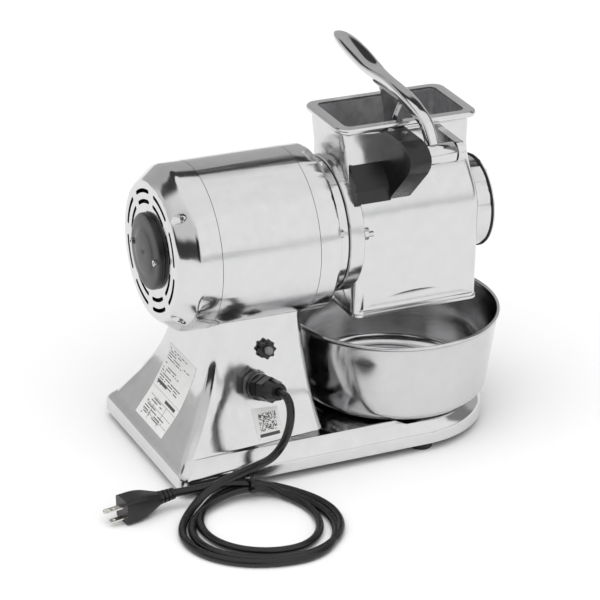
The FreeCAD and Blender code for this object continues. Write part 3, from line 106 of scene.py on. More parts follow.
# ---- material graphs -------------------------------------------------------------------
class Graph:
    """A material whose shader starts from constant values; textures are added node by node."""

    def __init__(self, name, color, rough, metal=0.0, **sockets):
        self.material = bpy.data.materials.new(name)
        self.material.use_nodes = True
        self.tree = self.material.node_tree
        self.shader = self.tree.nodes["Principled BSDF"]
        self.color = color
        self.set("Base Color", (*color, 1.0))
        self.set("Roughness", rough)
        self.set("Metallic", metal)
        for socket, value in sockets.items():
            self.set(socket.replace("_", " "), value)
        self.material.diffuse_color = (*color, 1.0)

    def set(self, socket, value):
        self.shader.inputs[socket].default_value = value

    def node(self, kind, **values):
        made = self.tree.nodes.new(kind)
        for key, value in values.items():
            setattr(made, key, value)
        return made

    def link(self, source, target):
        self.tree.links.new(source, target)

    def coords(self, scale=(1.0, 1.0, 1.0), centre=(0.0, 0.0, 0.0)):
        """Object coordinates moved to a centre and scaled."""
        texture = self.node("ShaderNodeTexCoord")
        mapping = self.node("ShaderNodeMapping")
        mapping.inputs["Location"].default_value = [-c * s for c, s in zip(centre, scale)]
        mapping.inputs["Scale"].default_value = scale
        self.link(texture.outputs["Object"], mapping.inputs["Vector"])
        return mapping.outputs["Vector"]

    def polar(self, axis, centre, scale):
        """Coordinates around an axis: scaled distance, angle and height."""
        moved = self.coords(centre=centre)
        parts = self.node("ShaderNodeSeparateXYZ")
        self.link(moved, parts.inputs[0])
        order = {"X": ("Y", "Z", "X"), "Z": ("X", "Y", "Z")}[axis]
        first, second, along = [parts.outputs[name] for name in order]
        flat = self.node("ShaderNodeCombineXYZ")
        self.link(first, flat.inputs[0])
        self.link(second, flat.inputs[1])
        length = self.node("ShaderNodeVectorMath", operation="LENGTH")
        self.link(flat.outputs[0], length.inputs[0])
        turn = self.node("ShaderNodeMath", operation="ARCTAN2")
        self.link(second, turn.inputs[0])
        self.link(first, turn.inputs[1])
        packed = self.node("ShaderNodeCombineXYZ")
        self.link(length.outputs["Value"], packed.inputs[0])
        self.link(turn.outputs[0], packed.inputs[1])
        self.link(along, packed.inputs[2])
        scaled = self.node("ShaderNodeMapping")
        scaled.inputs["Scale"].default_value = scale
        self.link(packed.outputs[0], scaled.inputs["Vector"])
        return scaled.outputs["Vector"]

    def noise(self, vector, scale, detail=3.0, rough=0.5):
        made = self.node("ShaderNodeTexNoise")
        made.inputs["Scale"].default_value = scale
        made.inputs["Detail"].default_value = detail
        made.inputs["Roughness"].default_value = rough
        self.link(vector, made.inputs["Vector"])
        return made.outputs["Fac"]

    def spread(self, value, low, high, to_low, to_high):
        made = self.node("ShaderNodeMapRange")
        limits = {"From Min": low, "From Max": high, "To Min": to_low, "To Max": to_high}
        for socket, number in limits.items():
            made.inputs[socket].default_value = number
        self.link(value, made.inputs["Value"])
        return made.outputs["Result"]

    def math(self, operation, first, second=0.0):
        made = self.node("ShaderNodeMath", operation=operation)
        for socket, value in zip(made.inputs, (first, second)):
            if isinstance(value, (int, float)):
                socket.default_value = value
            else:
                self.link(value, socket)
        return made.outputs[0]

    def within(self, value, low, high):
        """1 where low < value < high."""
        above = self.math("GREATER_THAN", value, low)
        return self.math("MULTIPLY", above, self.math("LESS_THAN", value, high))

    def both(self, *masks):
        """1 where every mask is 1."""
        total = masks[0]
        for mask in masks[1:]:
            total = self.math("MULTIPLY", total, mask)
        return total

    def drawing(self):
        """The three coordinates of the machine's drawing, in millimetres."""
        texture = self.node("ShaderNodeTexCoord")
        parts = self.node("ShaderNodeSeparateXYZ")
        self.link(texture.outputs["Object"], parts.inputs[0])
        return [self.math("ADD", self.math("MULTIPLY", parts.outputs[name], 1000.0), ORIGIN[i])
                for i, name in enumerate("XYZ")]

    def mixed(self, mask, off, on):
        """A colour: off where the mask is 0, on where it is 1."""
        made = self.node("ShaderNodeMix", data_type="RGBA")
        for socket, value in ((made.inputs[0], mask), (made.inputs[6], off), (made.inputs[7], on)):
            if isinstance(value, tuple):
                socket.default_value = (*value, 1.0)
            else:
                self.link(value, socket)
        return made.outputs[2]

    def chance(self, *values):
        """A fixed random number from 0 to 1 for each combination of whole numbers."""
        packed = self.node("ShaderNodeCombineXYZ")
        for socket, value in zip(packed.inputs, values):
            self.link(value, socket)
        made = self.node("ShaderNodeTexWhiteNoise", noise_dimensions="3D")
        self.link(packed.outputs[0], made.inputs["Vector"])
        return made.outputs["Value"]

    def tint(self, value, dark, light, low=0.3, high=0.7):
        ramp = self.node("ShaderNodeValToRGB")
        ramp.color_ramp.elements[0].position = low
        ramp.color_ramp.elements[0].color = (*dark, 1.0)
        ramp.color_ramp.elements[1].position = high
        ramp.color_ramp.elements[1].color = (*light, 1.0)
        self.link(value, ramp.inputs["Fac"])
        self.link(ramp.outputs["Color"], self.shader.inputs["Base Color"])

    def roughen(self, value, low, high):
        self.link(self.spread(value, 0.3, 0.7, low, high), self.shader.inputs["Roughness"])

    def bump(self, value, distance, strength=1.0):
        made = self.node("ShaderNodeBump")
        made.inputs["Strength"].default_value = strength
        made.inputs["Distance"].default_value = distance
        self.link(value, made.inputs["Height"])
        previous = self.shader.inputs["Normal"]
        if previous.is_linked:
            self.link(previous.links[0].from_socket, made.inputs["Normal"])
        self.link(made.outputs["Normal"], self.shader.inputs["Normal"])


def shade(value, factor):
    return tuple(c * factor for c in value)


def polished(name, color, rough, ripple, lines, grain=(1.0, 1.0, 1.0), polar=None):
    """Buffed metal: slow ripples, fine buffing lines and a little cloudiness."""
    graph = Graph(name, color, rough, 1.0)
    still = graph.coords()
    slow = graph.noise(still, 14.0, 2.0)
    cloud = graph.noise(still, 60.0, 5.0, 0.6)
    vector = graph.polar(*polar) if polar else graph.coords(grain)
    fine = graph.noise(vector, 90.0, 4.0, 0.65)
    graph.tint(cloud, shade(color, 0.94), color)
    graph.roughen(fine, rough * 0.75, rough * 1.45)
    graph.bump(slow, ripple)
    graph.bump(fine, lines, 0.5)
    return graph.material


def plastic(name, color, rough, grain_scale=1600.0, grain=0.00006, wear=0.75):
    """Moulded plastic or rubber with a fine grain and uneven sheen."""
    graph = Graph(name, color, rough)
    still = graph.coords()
    cloud = graph.noise(still, 40.0, 4.0)
    speck = graph.noise(still, grain_scale, 2.0)
    graph.tint(cloud, shade(color, wear), color)
    graph.roughen(cloud, rough * 0.85, min(1.0, rough * 1.25))
    graph.bump(speck, grain, 0.6)
    return graph.material


SILVER = (0.70, 0.70, 0.705)
STEEL = (0.64, 0.64, 0.645)
BLACK = (0.006, 0.006, 0.0065)


# the feed channel inside the head: half its length and width, its middle at its top, how far the
# middle moves for each millimetre down, and its lowest and highest points
CHANNEL_HALF_LENGTH = 70.6
CHANNEL_HALF_WIDTH = 38.8
CHANNEL_MIDDLE = 98.6
CHANNEL_DRIFT = 0.055
CHANNEL_TOP = 355.0
CHANNEL_LEVELS = (236.0, 353.6)


def head_metal():
    """Polished outside, and a dull blasted feed channel inside."""
    graph = Graph("head_polish", SILVER, 0.10, 1.0)
    still = graph.coords()
    slow = graph.noise(still, 11.0, 2.0)
    cloud = graph.noise(still, 70.0, 5.0, 0.6)
    fine = graph.noise(graph.coords((0.12, 1.0, 1.0)), 90.0, 4.0, 0.65)
    x, y, z = graph.drawing()
    drift = graph.math("MULTIPLY", graph.math("SUBTRACT", CHANNEL_TOP, z), CHANNEL_DRIFT)
    centred = graph.math("SUBTRACT", graph.math("SUBTRACT", x, CHANNEL_MIDDLE), drift)
    inside = graph.both(graph.within(centred, -CHANNEL_HALF_LENGTH, CHANNEL_HALF_LENGTH),
                        graph.within(y, -CHANNEL_HALF_WIDTH, CHANNEL_HALF_WIDTH),
                        graph.within(z, *CHANNEL_LEVELS))
    shine = graph.mixed(graph.spread(cloud, 0.3, 0.7, 0.0, 1.0), shade(SILVER, 0.94), SILVER)
    dull = graph.mixed(graph.spread(cloud, 0.3, 0.7, 0.0, 1.0), (0.62, 0.62, 0.63), (0.92, 0.92, 0.93))
    graph.link(graph.mixed(inside, shine, dull), graph.shader.inputs["Base Color"])
    rough = graph.math("ADD", graph.spread(fine, 0.3, 0.7, 0.14, 0.21), graph.math("MULTIPLY", inside, 0.24))
    graph.link(rough, graph.shader.inputs["Roughness"])
    graph.bump(slow, 0.0011)
    graph.bump(fine, 0.00002, 0.5)
    speck = graph.noise(still, 500.0, 3.0)
    graph.bump(graph.math("MULTIPLY", speck, inside), 0.00025, 0.6)
    return graph.material


PAPER = (0.74, 0.74, 0.73)
INK = (0.05, 0.05, 0.05)


def label(name, along, low, high, bottom, top, style):
    """A generic label: rows of unreadable bars, a ruled table or a random pattern of squares.

    along is the drawing axis that the label runs along (0 for X, 1 for Y), low and high are its ends
    there, and bottom and top its heights. u and v go from 0 to 1 across it.
    """
    graph = Graph(name, PAPER, 0.32)
    place = graph.drawing()
    u = graph.math("DIVIDE", graph.math("SUBTRACT", place[along], low), high - low)
    v = graph.math("DIVIDE", graph.math("SUBTRACT", place[2], bottom), top - bottom)
    inner = graph.both(graph.within(u, 0.07, 0.93), graph.within(v, 0.06, 0.94))
    if style == "rows":
        ink = graph.both(inner, bars(graph, u, v, 17, 30))
        heavy = graph.both(graph.within(u, 0.10, 0.42), graph.within(v, 0.10, 0.17))
        ink = graph.math("MAXIMUM", ink, heavy)
    elif style == "table":
        upright = graph.math("LESS_THAN", graph.math("FRACT", graph.math("MULTIPLY", u, 3.0)), 0.03)
        level = graph.math("LESS_THAN", graph.math("FRACT", graph.math("MULTIPLY", v, 4.0)), 0.05)
        ruled = graph.math("MAXIMUM", upright, level)
        edge = graph.both(graph.within(u, 0.12, 0.96), graph.within(v, 0.10, 0.78))
        heavy = graph.both(graph.within(u, 0.55, 0.90), graph.within(v, 0.83, 0.93))
        ink = graph.math("MAXIMUM", graph.both(edge, ruled), graph.both(edge, bars(graph, u, v, 12, 24)))
        ink = graph.math("MAXIMUM", ink, heavy)
    else:
        field = graph.both(graph.within(u, 0.20, 0.80), graph.within(v, 0.28, 0.80))
        column = graph.math("FLOOR", graph.math("MULTIPLY", u, 34.0))
        row = graph.math("FLOOR", graph.math("MULTIPLY", v, 40.0))
        squares = graph.math("GREATER_THAN", graph.chance(column, row, column), 0.5)
        caption = graph.both(graph.within(u, 0.16, 0.84), graph.within(v, 0.13, 0.22))
        ink = graph.math("MAXIMUM", graph.both(field, squares), caption)
    tone = graph.noise(graph.coords(), 120.0, 2.0)
    paper = graph.mixed(graph.spread(tone, 0.3, 0.7, 0.0, 1.0), shade(PAPER, 0.95), PAPER)
    graph.link(graph.mixed(ink, paper, INK), graph.shader.inputs["Base Color"])
    graph.bump(tone, 0.00002, 0.5)
    return graph.material


def bars(graph, u, v, rows, words):
    """Lines of short bars of uneven length, in place of print."""
    row = graph.math("FLOOR", graph.math("MULTIPLY", v, float(rows)))
    part = graph.math("FRACT", graph.math("MULTIPLY", v, float(rows)))
    word = graph.math("FLOOR", graph.math("MULTIPLY", u, float(words)))
    gaps = graph.math("GREATER_THAN", graph.chance(word, row, row), 0.28)
    reach = graph.math("ADD", graph.math("MULTIPLY", graph.chance(row, row, row), 0.75), 0.15)
    return graph.both(graph.within(part, 0.32, 0.70), gaps, graph.math("LESS_THAN", u, reach))


SHAFT_LINE = tuple(at(0.0, 0.0, 235.8))
BOWL_LINE = tuple(at(110.0, 0.0, 0.0))

MATERIALS = {
    "polished_aluminium": polished("cast_polish", SILVER, 0.11, 0.0007, 0.00003, (1.0, 0.12, 0.12)),
    "turned_aluminium": polished("turned_polish", SILVER, 0.10, 0.0004, 0.00002,
                                 polar=("X", SHAFT_LINE, (1.0, 0.012, 1.0))),
    "satin_aluminium": polished("satin", STEEL, 0.28, 0.0003, 0.00006),
    "stainless_brushed": polished("brushed_turned", STEEL, 0.22, 0.0002, 0.00006,
                                  polar=("Z", BOWL_LINE, (1.0, 0.01, 1.0))),
    "stainless_polished": polished("stainless", STEEL, 0.12, 0.0002, 0.00002),
    "zinc_steel": polished("plated", (0.7, 0.7, 0.71), 0.2, 0.0001, 0.00003),
    "bearing_steel": polished("ground_steel", (0.6, 0.6, 0.61), 0.22, 0.0001, 0.00004),
    "core_steel": polished("laminations", (0.3, 0.3, 0.31), 0.4, 0.0001, 0.0001, (12.0, 0.3, 0.3)),
    "copper_winding": polished("winding", (0.62, 0.33, 0.16), 0.3, 0.0003, 0.0002),
    "black_rubber": plastic("rubber", BLACK, 0.6),
    "black_plastic": plastic("moulded_black", BLACK, 0.30),
    "black_gloss": plastic("gloss_black", BLACK, 0.08, 400.0, 0.00001),
    "dark_sheet": plastic("dark_sheet", (0.05, 0.05, 0.05), 0.45),
    "white_plastic": plastic("white_moulded", (0.8, 0.8, 0.78), 0.4),
    "green_button": plastic("green_moulded", (0.02, 0.30, 0.07), 0.25),
    "red_button": plastic("red_moulded", (0.5, 0.01, 0.01), 0.25),
    "sticker_film": plastic("label_film", (0.72, 0.72, 0.71), 0.35, 300.0, 0.00001, 0.96),
    "cord_jacket": plastic("cord_jacket", (0.005, 0.005, 0.0055), 0.24, 900.0, 0.00005),
    "brass_pin": polished("pin_metal", (0.74, 0.72, 0.68), 0.22, 0.0001, 0.00003),
    "fan_plastic": plastic("fan_moulded", (0.12, 0.12, 0.12), 0.5),
}
MATERIALS["head_polish"] = head_metal()
MATERIALS["bowl_polish"] = polished("bowl_outside", STEEL, 0.13, 0.0003, 0.00001,
                                    polar=("Z", BOWL_LINE, (1.0, 0.01, 1.0)))
MATERIALS["bowl_satin"] = polished("bowl_inside", (0.60, 0.60, 0.605), 0.34, 0.0002, 0.00008,
                                   polar=("Z", BOWL_LINE, (1.0, 0.01, 1.0)))
MATERIALS["lever_polish"] = polished("lever_polish", SILVER, 0.07, 0.0006, 0.00002)
MATERIALS["sleeve_polish"] = polished("sleeve_polish", SILVER, 0.15, 0.0004, 0.00003, (0.12, 1.0, 1.0))
MATERIALS["dome_plastic"] = plastic("clear_dome", (0.22, 0.22, 0.22), 0.10, 300.0, 0.00001)
MATERIALS["rating_print"] = label("rating_print", 1, 38.5, -35.0, 65.0, 108.5, "rows")
MATERIALS["table_print"] = label("table_print", 1, 39.0, -35.0, 35.0, 64.4, "table")
MATERIALS["code_print"] = label("code_print", 0, -86.0, -51.5, 38.6, 71.5, "squares")
SLOT_OF = {entry["node"]: entry["material_slot"] for entry in frame["record"]["subparts"]}


def dress(obj, material):
    obj.data.materials.clear()
    obj.data.materials.append(MATERIALS[material])


def link(name, mesh):
    obj = bpy.data.objects.new(name, mesh)
    bpy.context.scene.collection.objects.link(obj)
    return obj


# ---- mains cord --------------------------------------------------------------------------
CORD_RADIUS = 4.3
FLOOR_GAP = 0.4                 # under the coil
DROP_ROUTE = (
    (-70.48, -96.86, 101.28),
    (-68.5, -115.8, 106.8),
    (-70.5, -135.0, 103.0),
    (-76.5, -149.3, 90.5),
    (-86.0, -155.5, 72.5),
    (-97.5, -150.3, 53.5),
    (-108.7, -134.0, 39.5),
    (-121.0, -123.0, 31.0),
)
LEAD_ROUTE = (
    (-131.0, -125.5, 22.5),
    (-151.0, -125.2, 21.8),
    (-171.0, -122.0, 19.6),
    (-192.0, -117.0, 17.0),
)
# each turn from the tie round: how far left (x), near (y) and right (x) it reaches, and the y and
# height at which it comes back to the tie
TURNS = (
    (-212.0, -272.0, -54.0, (-128.0, 13.5)),
    (-201.0, -266.0, -45.0, (-118.5, 13.5)),
    (-187.0, -250.0, -66.0, (-125.5, 22.5)),
)
TURN_STEPS = 16
TIE = (-118.0, -119.0, 31.0)    # where the first turn starts


def coil_points():
    """The three loose turns, each an egg that starts and ends at the tie."""
    points = []
    tie_x, start_y, start_z = TIE
    low = CORD_RADIUS + FLOOR_GAP
    for left, bottom, right, (end_y, end_z) in TURNS:
        for k in range(1, TURN_STEPS + 1):
            share = k / TURN_STEPS
            turn = 2 * math.pi * share
            top = start_y + (end_y - start_y) * share
            middle = (top + bottom) / 2
            half = (top - bottom) / 2
            reach = tie_x - left if share < 0.5 else right - tie_x
            x = tie_x - reach * math.sin(turn)
            y = middle + half * math.cos(turn)
            lift = max(0.0, math.cos(turn)) ** 6
            height = start_z if share < 0.5 else end_z
            z = low + (height - low) * lift
            points.append((x, y, z))
        start_y, start_z = end_y, end_z
    return points


def make_cord(plug_pieces):
    route = list(DROP_ROUTE[:-1]) + coil_points()[:-1] + list(LEAD_ROUTE)
    curve = bpy.data.curves.new("mains_cord", "CURVE")
    curve.dimensions = "3D"
    spline = curve.splines.new("NURBS")
    spline.points.add(len(route) - 1)
    for point, place in zip(spline.points, route):
        point.co = (*at(*place), 1.0)
    spline.order_u = 3
    spline.use_endpoint_u = True
    spline.resolution_u = 12
    curve.bevel_depth = CORD_RADIUS * MM
    curve.bevel_resolution = 8
    curve.use_fill_caps = True
    cord = link("mains_cord", curve)
    dress(cord, "cord_jacket")
    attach(cord, "machine")
    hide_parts("cord_drop", "cord_lead", "cord_coil")


# ---- studio ------------------------------------------------------------------------------
FLOOR_SIDES = 96
FLOOR_RADIUS = 9.0              # metres
SUN_STRENGTH = 1.75
SUN_SPREAD = 70.0               # degrees
SUN_DIRECTION = (0.35, 0.35, -1.0)


def make_floor():
    mesh = bpy.data.meshes.new("floor")
    turns = [2 * math.pi * k / FLOOR_SIDES for k in range(FLOOR_SIDES)]
    places = [(FLOOR_RADIUS * math.cos(turn), FLOOR_RADIUS * math.sin(turn), 0.0) for turn in turns]
    mesh.from_pydata(places, [], [tuple(range(FLOOR_SIDES))])
    floor = link("floor", mesh)
    graph = Graph("floor_paper", (0.86, 0.86, 0.86), 0.9)
    mesh.materials.append(graph.material)


def make_sun():
    """Soft light for the paper and the dull parts; the polished parts see only the studio."""
    data = bpy.data.lights.new("soft_sun", "SUN")
    data.energy = SUN_STRENGTH
    data.angle = math.radians(SUN_SPREAD)
    lamp = bpy.data.objects.new("soft_sun", data)
    bpy.context.scene.collection.objects.link(lamp)
    lamp.rotation_euler = Vector(SUN_DIRECTION).to_track_quat("-Z", "Y").to_euler()
    lamp.visible_glossy = False


# what the polished metal sees, in degrees: middle azimuth, half width, side softness,
# lowest and highest elevation, edge softness, brightness
STUDIO_PATCHES = (
    (45.0, 70.0, 24.0, -9.0, 50.0, 2.0, 0.50),
    (60.0, 80.0, 16.0, 38.0, 50.0, 2.0, 0.05),
    (-152.0, 32.0, 8.0, -9.0, 15.0, 8.0, 0.05),
    (-60.0, 36.0, 12.0, 10.0, 52.0, 8.0, 1.05),
    (-120.0, 9.0, 6.0, -9.0, 24.0, 10.0, 0.02),
    (-8.0, 10.0, 8.0, -9.0, 40.0, 10.0, 0.25),
)
STUDIO_BASE = 0.74              # brightness near the horizon
STUDIO_TOP = 1.0                # brightness overhead


def make_world():
    """A white studio with soft boxes and dark gaps between them, all fixed in the world."""
    world = bpy.data.worlds.new("studio")
    bpy.context.scene.world = world
    world.use_nodes = True
    tree = world.node_tree

    def math_node(operation, first, second=None):
        made = tree.nodes.new("ShaderNodeMath")
        made.operation = operation
        for socket, value in zip(made.inputs, (first, second)):
            if value is None:
                continue
            if isinstance(value, (int, float)):
                socket.default_value = value
            else:
                tree.links.new(value, socket)
        return made.outputs[0]

    def smooth(value, inner, outer):
        made = tree.nodes.new("ShaderNodeMapRange")
        made.interpolation_type = "SMOOTHSTEP"
        limits = {"From Min": inner, "From Max": outer, "To Min": 1.0, "To Max": 0.0}
        for socket, number in limits.items():
            made.inputs[socket].default_value = number
        tree.links.new(value, made.inputs["Value"])
        return made.outputs["Result"]

    coordinates = tree.nodes.new("ShaderNodeTexCoord")
    parts = tree.nodes.new("ShaderNodeSeparateXYZ")
    tree.links.new(coordinates.outputs["Generated"], parts.inputs[0])
    azimuth = math_node("ARCTAN2", parts.outputs["Y"], parts.outputs["X"])
    elevation = math_node("ARCSINE", parts.outputs["Z"])
    total = math_node("ADD", STUDIO_BASE, math_node(
        "MULTIPLY", smooth(elevation, math.radians(60.0), math.radians(35.0)), STUDIO_TOP - STUDIO_BASE))
    for middle, half_width, side_soft, low, high, soft, bright in STUDIO_PATCHES:
        turn = math_node("SUBTRACT", azimuth, math.radians(middle))
        off = math_node("ARCCOSINE", math_node("COSINE", turn))
        across = smooth(off, math.radians(half_width), math.radians(half_width + side_soft))
        rise = math_node("ABSOLUTE", math_node("SUBTRACT", elevation, math.radians((low + high) / 2)))
        half_height = (high - low) / 2
        along = smooth(rise, math.radians(half_height), math.radians(half_height + soft))
        mask = math_node("MULTIPLY", across, along)
        change = math_node("MULTIPLY", mask, math_node("SUBTRACT", bright, total))
        total = math_node("ADD", total, change)
    background = tree.nodes["Background"]
    background.inputs["Color"].default_value = (1.0, 1.0, 1.0, 1.0)
    tree.links.new(total, background.inputs["Strength"])


# ---- pieces worked from the CAD solids -----------------------------------------------------
def body_of(node):
    return nodes[node]["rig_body"]


def refined(node, width, segments=2, material=None, sharp_deg=30.0):
    """The CAD solid with its edges broken by a small radius, as a casting or moulding has them."""
    mesh = nodes[node].data.copy()
    work = bmesh.new()
    work.from_mesh(mesh)
    bmesh.ops.remove_doubles(work, verts=work.verts, dist=2e-6)
    bmesh.ops.dissolve_limit(work, angle_limit=math.radians(0.02), verts=work.verts, edges=work.edges)
    work.to_mesh(mesh)
    work.free()
    piece = link(node + "_finish", mesh)
    smooth_faces(mesh, sharp_deg)
    bevel = piece.modifiers.new("edges", "BEVEL")
    bevel.width = width * MM
    bevel.segments = segments
    bevel.limit_method = "ANGLE"
    bevel.angle_limit = math.radians(sharp_deg)
    bevel.harden_normals = True
    bevel.miter_outer = "MITER_ARC"
    settle(piece, node, material or SLOT_OF[node])
    return piece


SCOOP_LINE = (80.0, 165.0)      # distance out and height of the line that each hollow is turned about
SCOOP_R = 24.0
SCOOP_MATCH = 0.06              # how near a point has to be to a hollow's surface
WIDE_FACE = 2e-4                # square metres


def round_scoops(piece):
    """Exact normals on the wide flat faces and in the two arched hollows above the outlet."""
    mesh = bpy.data.meshes.new_from_object(piece.evaluated_get(bpy.context.evaluated_depsgraph_get()))
    piece.modifiers.clear()
    piece.data = mesh
    normals = [Vector(corner.vector) for corner in mesh.corner_normals]
    for face in mesh.polygons:
        if face.area > WIDE_FACE:
            for index in face.loop_indices:
                normals[index] = face.normal.copy()
    for loop in mesh.loops:
        point = mesh.vertices[loop.vertex_index].co / MM + ORIGIN
        side = -1.0 if point.y < 0 else 1.0
        away = Vector((0.0, side * SCOOP_LINE[0] - point.y, SCOOP_LINE[1] - point.z))
        if abs(away.length - SCOOP_R) < SCOOP_MATCH and normals[loop.index].dot(away.normalized()) > 0.8:
            normals[loop.index] = away.normalized()
    mesh.normals_split_custom_set(normals)


def smooth_faces(mesh, sharp_deg=40.0):
    mesh.polygons.foreach_set("use_smooth", [True] * len(mesh.polygons))
    mesh.set_sharp_from_angle(angle=math.radians(sharp_deg))


def settle(piece, node, material):
    """Gives a piece its material and its body, and hides the CAD node that it stands for."""
    dress(piece, material)
    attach(piece, body_of(node))
    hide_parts(node)


def grid_mesh(name, rows, closed=True, caps=False, split=None):
    """A mesh through rows of points, closed around each row.

    From split on, the faces of each row take a second material.
    """
    mesh = bpy.data.meshes.new(name)
    count = len(rows[0])
    points = [point for row in rows for point in row]
    faces = []
    for i in range(len(rows) - 1):
        for k in range(count if closed else count - 1):
            n = (k + 1) % count
            faces.append((i * count + k, i * count + n, (i + 1) * count + n, (i + 1) * count + k))
    if caps:
        faces.append(tuple(reversed(range(count))))
        faces.append(tuple(range((len(rows) - 1) * count, len(rows) * count)))
    mesh.from_pydata(points, [], faces)
    if split is not None:
        for face in mesh.polygons:
            face.material_index = 1 if face.index % count >= split else 0
    work = bmesh.new()
    work.from_mesh(mesh)
    bmesh.ops.remove_doubles(work, verts=work.verts, dist=1e-7)
    bmesh.ops.recalc_face_normals(work, faces=work.faces)
    work.to_mesh(mesh)
    work.free()
    return mesh


def lathe(name, profile, centre, axis, around=160, split=None):
    """A closed profile of (along, radius) in millimetres turned about X or Z."""
    rows = []
    for k in range(around):
        turn = 2 * math.pi * k / around
        row = []
        for along, radius in profile:
            flat = (radius * math.cos(turn), radius * math.sin(turn))
            offset = (along, *flat) if axis == "X" else (*flat, along)
            row.append(Vector(centre) + Vector(offset) * MM)
        rows.append(row)
    rows.append(rows[0])
    return grid_mesh(name, rows, split=split)


def blended(stations, steps):
    """Catmull-Rom values between stations, each a tuple of numbers."""
    rows = []
    last = len(stations) - 1
    for i in range(last):
        near = [stations[max(0, min(last, i + k))] for k in (-1, 0, 1, 2)]
        for step in range(steps):
            t = step / steps
            rows.append(tuple(
                0.5 * (2 * b + (c - a) * t + (2 * a - 5 * b + 4 * c - d) * t * t
                       + (3 * b - a - 3 * c + d) * t ** 3)
                for a, b, c, d in zip(*near)))
    rows.append(tuple(float(v) for v in stations[last]))
    return rows


# ---- pressing lever ------------------------------------------------------------------------
LEVER_X = 100.5
HINGE = (105.0, -93.0, 336.0)
# along the lever: sideways shift, y, height of the middle, width, thickness, depth of the dish
LEVER_STATIONS = (
    (2.4, -91.0, 345.0, 12.4, 13.0, 0.0),
    (1.4, -78.0, 364.5, 13.4, 12.0, 0.0),
    (0.4, -60.0, 372.0, 14.9, 12.5, 0.2),
    (0.0, -40.0, 376.5, 15.9, 12.5, 0.4),
    (0.0, -15.0, 379.0, 14.9, 12.0, 0.2),
    (0.0, 8.0, 380.5, 13.9, 11.0, 0.0),
    (0.0, 35.0, 381.2, 19.2, 9.9, 0.0),
    (0.0, 41.5, 381.7, 21.0, 9.8, 2.0),
    (0.0, 55.0, 383.0, 23.4, 9.4, 2.3),
    (0.0, 80.0, 387.0, 24.9, 9.4, 2.1),
    (0.0, 105.0, 390.5, 22.9, 8.9, 1.6),
    (0.0, 122.0, 392.0, 17.8, 8.4, 0.7),
    (0.0, 131.0, 392.2, 11.5, 7.0, 0.2),
    (0.0, 135.2, 392.2, 5.0, 4.4, 0.0),
    (0.0, 136.0, 392.2, 1.2, 1.2, 0.0),
)
SECTION_POINTS = 40


def lever_rows():
    rows = []
    path = blended(LEVER_STATIONS, 8)
    for i, (shift, y, z, width, thick, dish) in enumerate(path):
        before = path[max(0, i - 1)]
        after = path[min(len(path) - 1, i + 1)]
        tilt = math.atan2(after[2] - before[2], after[1] - before[1])
        row = []
        for k in range(SECTION_POINTS):
            turn = 2 * math.pi * (k + 0.5) / SECTION_POINTS
            across = math.copysign(abs(math.cos(turn)) ** 0.62, math.cos(turn))
            upward = math.copysign(abs(math.sin(turn)) ** 0.62, math.sin(turn))
            lift = upward * thick / 2
            if upward > 0:
                inside = max(0.0, 1.0 - (across / 0.80) ** 2)
                lift -= dish * inside ** 1.5 * min(1.0, upward * 1.5)
            row.append(at(LEVER_X + shift + across * width / 2,
                          y - lift * math.sin(tilt), z + lift * math.cos(tilt)))
        rows.append(row)
    return rows


# the web under the arm, at each height: its two edges (y) and half its thickness
WEB_LEVELS = (
    (376.0, -36.0, 33.0, 9.8),
    (371.0, -29.0, 25.0, 6.0),
    (365.0, -22.5, 19.5, 4.9),
    (357.0, -17.0, 15.5, 4.5),
    (348.0, -12.0, 12.0, 4.4),
    (338.0, -9.6, 9.6, 4.4),
    (328.0, -8.4, 8.4, 4.4),
)


def web_rows():
    rows = []
    for z, low, high, half in blended(WEB_LEVELS, 5):
        middle = (low + high) / 2
        reach = (high - low) / 2
        row = []
        for k in range(32):
            turn = 2 * math.pi * (k + 0.5) / 32
            along = math.copysign(abs(math.cos(turn)) ** 0.35, math.cos(turn))
            across = math.copysign(abs(math.sin(turn)) ** 0.5, math.sin(turn))
            row.append(at(LEVER_X + half * across, middle + reach * along, z))
        rows.append(row)
    return rows


def make_lever():
    arm = grid_mesh("lever_arm", lever_rows(), caps=True)
    web = grid_mesh("lever_web", web_rows(), caps=True)
    barrel_profile = [(85.0, 6.2), (85.0, 10.2), (85.8, 11.0), (125.2, 11.0), (126.0, 10.2), (126.0, 6.2)]
    barrel = lathe("lever_barrel", barrel_profile, at(0.0, HINGE[1], HINGE[2]), "X", 96)
    eye_profile = [(-4.9, 4.2), (-4.9, 7.4), (-4.3, 8.3), (4.3, 8.3), (4.9, 7.4), (4.9, 4.2)]
    eye = lathe("lever_eye", eye_profile, at(LEVER_X, 0.0, 322.0), "X", 96)
    work = bmesh.new()
    for mesh in (arm, web, barrel, eye):
        work.from_mesh(mesh)
    arm.clear_geometry()
    work.to_mesh(arm)
    work.free()
    smooth_faces(arm, 50.0)
    settle(link("lever_casting", arm), "lever", "lever_polish")


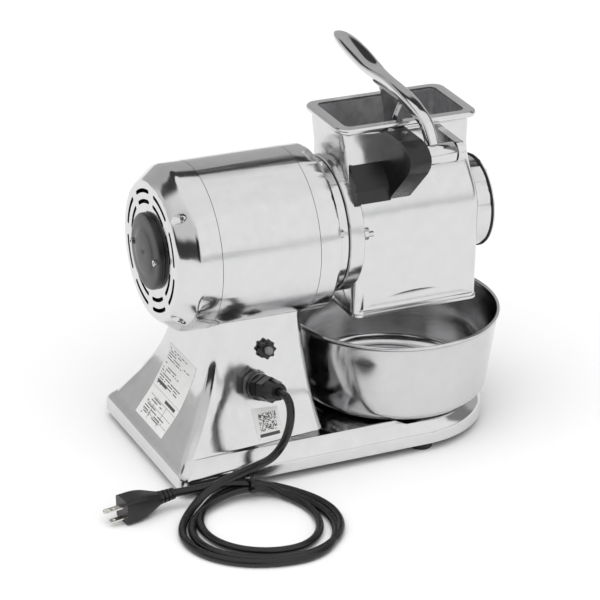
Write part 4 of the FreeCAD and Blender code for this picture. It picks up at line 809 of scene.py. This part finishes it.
# ---- catch bowl ----------------------------------------------------------------------------
def make_bowl():
    floor_z, corner_z, rim_z = 33.75, 47.0, 127.6
    foot_r, corner_r, rim_r = 88.0, 104.3, 114.4
    wall, bead = 1.5, 1.8
    flat = (0.0, 40.0, foot_r - 4.0, foot_r)
    outer = [(floor_z, r) for r in flat]
    inner = [(floor_z + wall, r) for r in flat]
    sweep = math.radians(82.0)
    for k in range(1, 13):
        angle = sweep * k / 12
        reach = math.sin(angle) / math.sin(sweep)
        rise = (1 - math.cos(angle)) / (1 - math.cos(sweep))
        outer.append((floor_z + (corner_z - floor_z) * rise,
                      foot_r + (corner_r - foot_r) * reach))
        inner.append((floor_z + wall + (corner_z - floor_z - wall) * rise,
                      foot_r + (corner_r - foot_r - wall) * reach))
    for share in (0.25, 0.5, 0.75, 0.94):
        z = corner_z + (rim_z - corner_z) * share
        r = corner_r + (rim_r - corner_r) * share
        outer.append((z, r))
        inner.append((z, r - wall))
    roll = []
    for k in range(15):
        angle = math.radians(-70.0 + 290.0 * k / 14)
        roll.append((rim_z + bead * math.sin(angle), rim_r + bead * math.cos(angle)))
    profile = outer + roll + inner[::-1]
    mesh = lathe("bowl_shell", profile, at(110.0, 0.0, 0.0), "Z", 200, split=len(outer) + 9)
    smooth_faces(mesh, 60.0)
    bowl = link("bowl_shell", mesh)
    settle(bowl, "bowl", "bowl_polish")
    mesh.materials.append(MATERIALS["bowl_satin"])


# node, bevel width, bevel segments, and a finish where the slot's own isn't used
REFINED = (
    ("base_casting", 1.6, 3),
    ("motor_rear_cap", 0.5, 2),
    ("rear_disc", 0.6, 2),
    ("motor_sleeve", 0.3, 2, "sleeve_polish"),
    ("motor_front_ring", 0.5, 2),
    ("cord_tie", 0.3, 2),
    ("rear_cap_screws", 0.4, 2),
    ("rear_disc_screws", 0.4, 2),
    ("front_cover", 0.6, 2),
    ("interlock_cover", 1.6, 4),
    ("gland_nut", 0.5, 2),
    ("gland_body", 0.5, 2),
    ("reset_button_nut", 0.4, 2),
    ("reset_button", 0.5, 2, "dome_plastic"),
    ("head_nuts", 0.35, 2),
    ("head_studs", 0.4, 2),
    ("front_ring_bolts", 0.35, 2),
    ("hinge_pin", 0.5, 2),
    ("switch_plate", 0.5, 2),
    ("start_button", 0.4, 2),
    ("stop_button", 0.4, 2),
    ("rubber_feet", 0.6, 2),
    ("pusher_plate", 0.5, 2),
)

PRINTS = {"rating_sticker": "rating_print", "table_sticker": "table_print", "code_sticker": "code_print"}

place_camera()
make_cord([refined("plug_body", 0.6, 3), refined("plug_pins", 0.25, 2)])
make_lever()
make_bowl()
round_scoops(refined("head_casting", 0.9, 3, "head_polish"))
for node, width, segments, *finish in REFINED:
    refined(node, width, segments, *finish)
make_floor()
make_world()
make_sun()
for node, obj in nodes.items():
    dress(obj, PRINTS.get(node, SLOT_OF[node]))
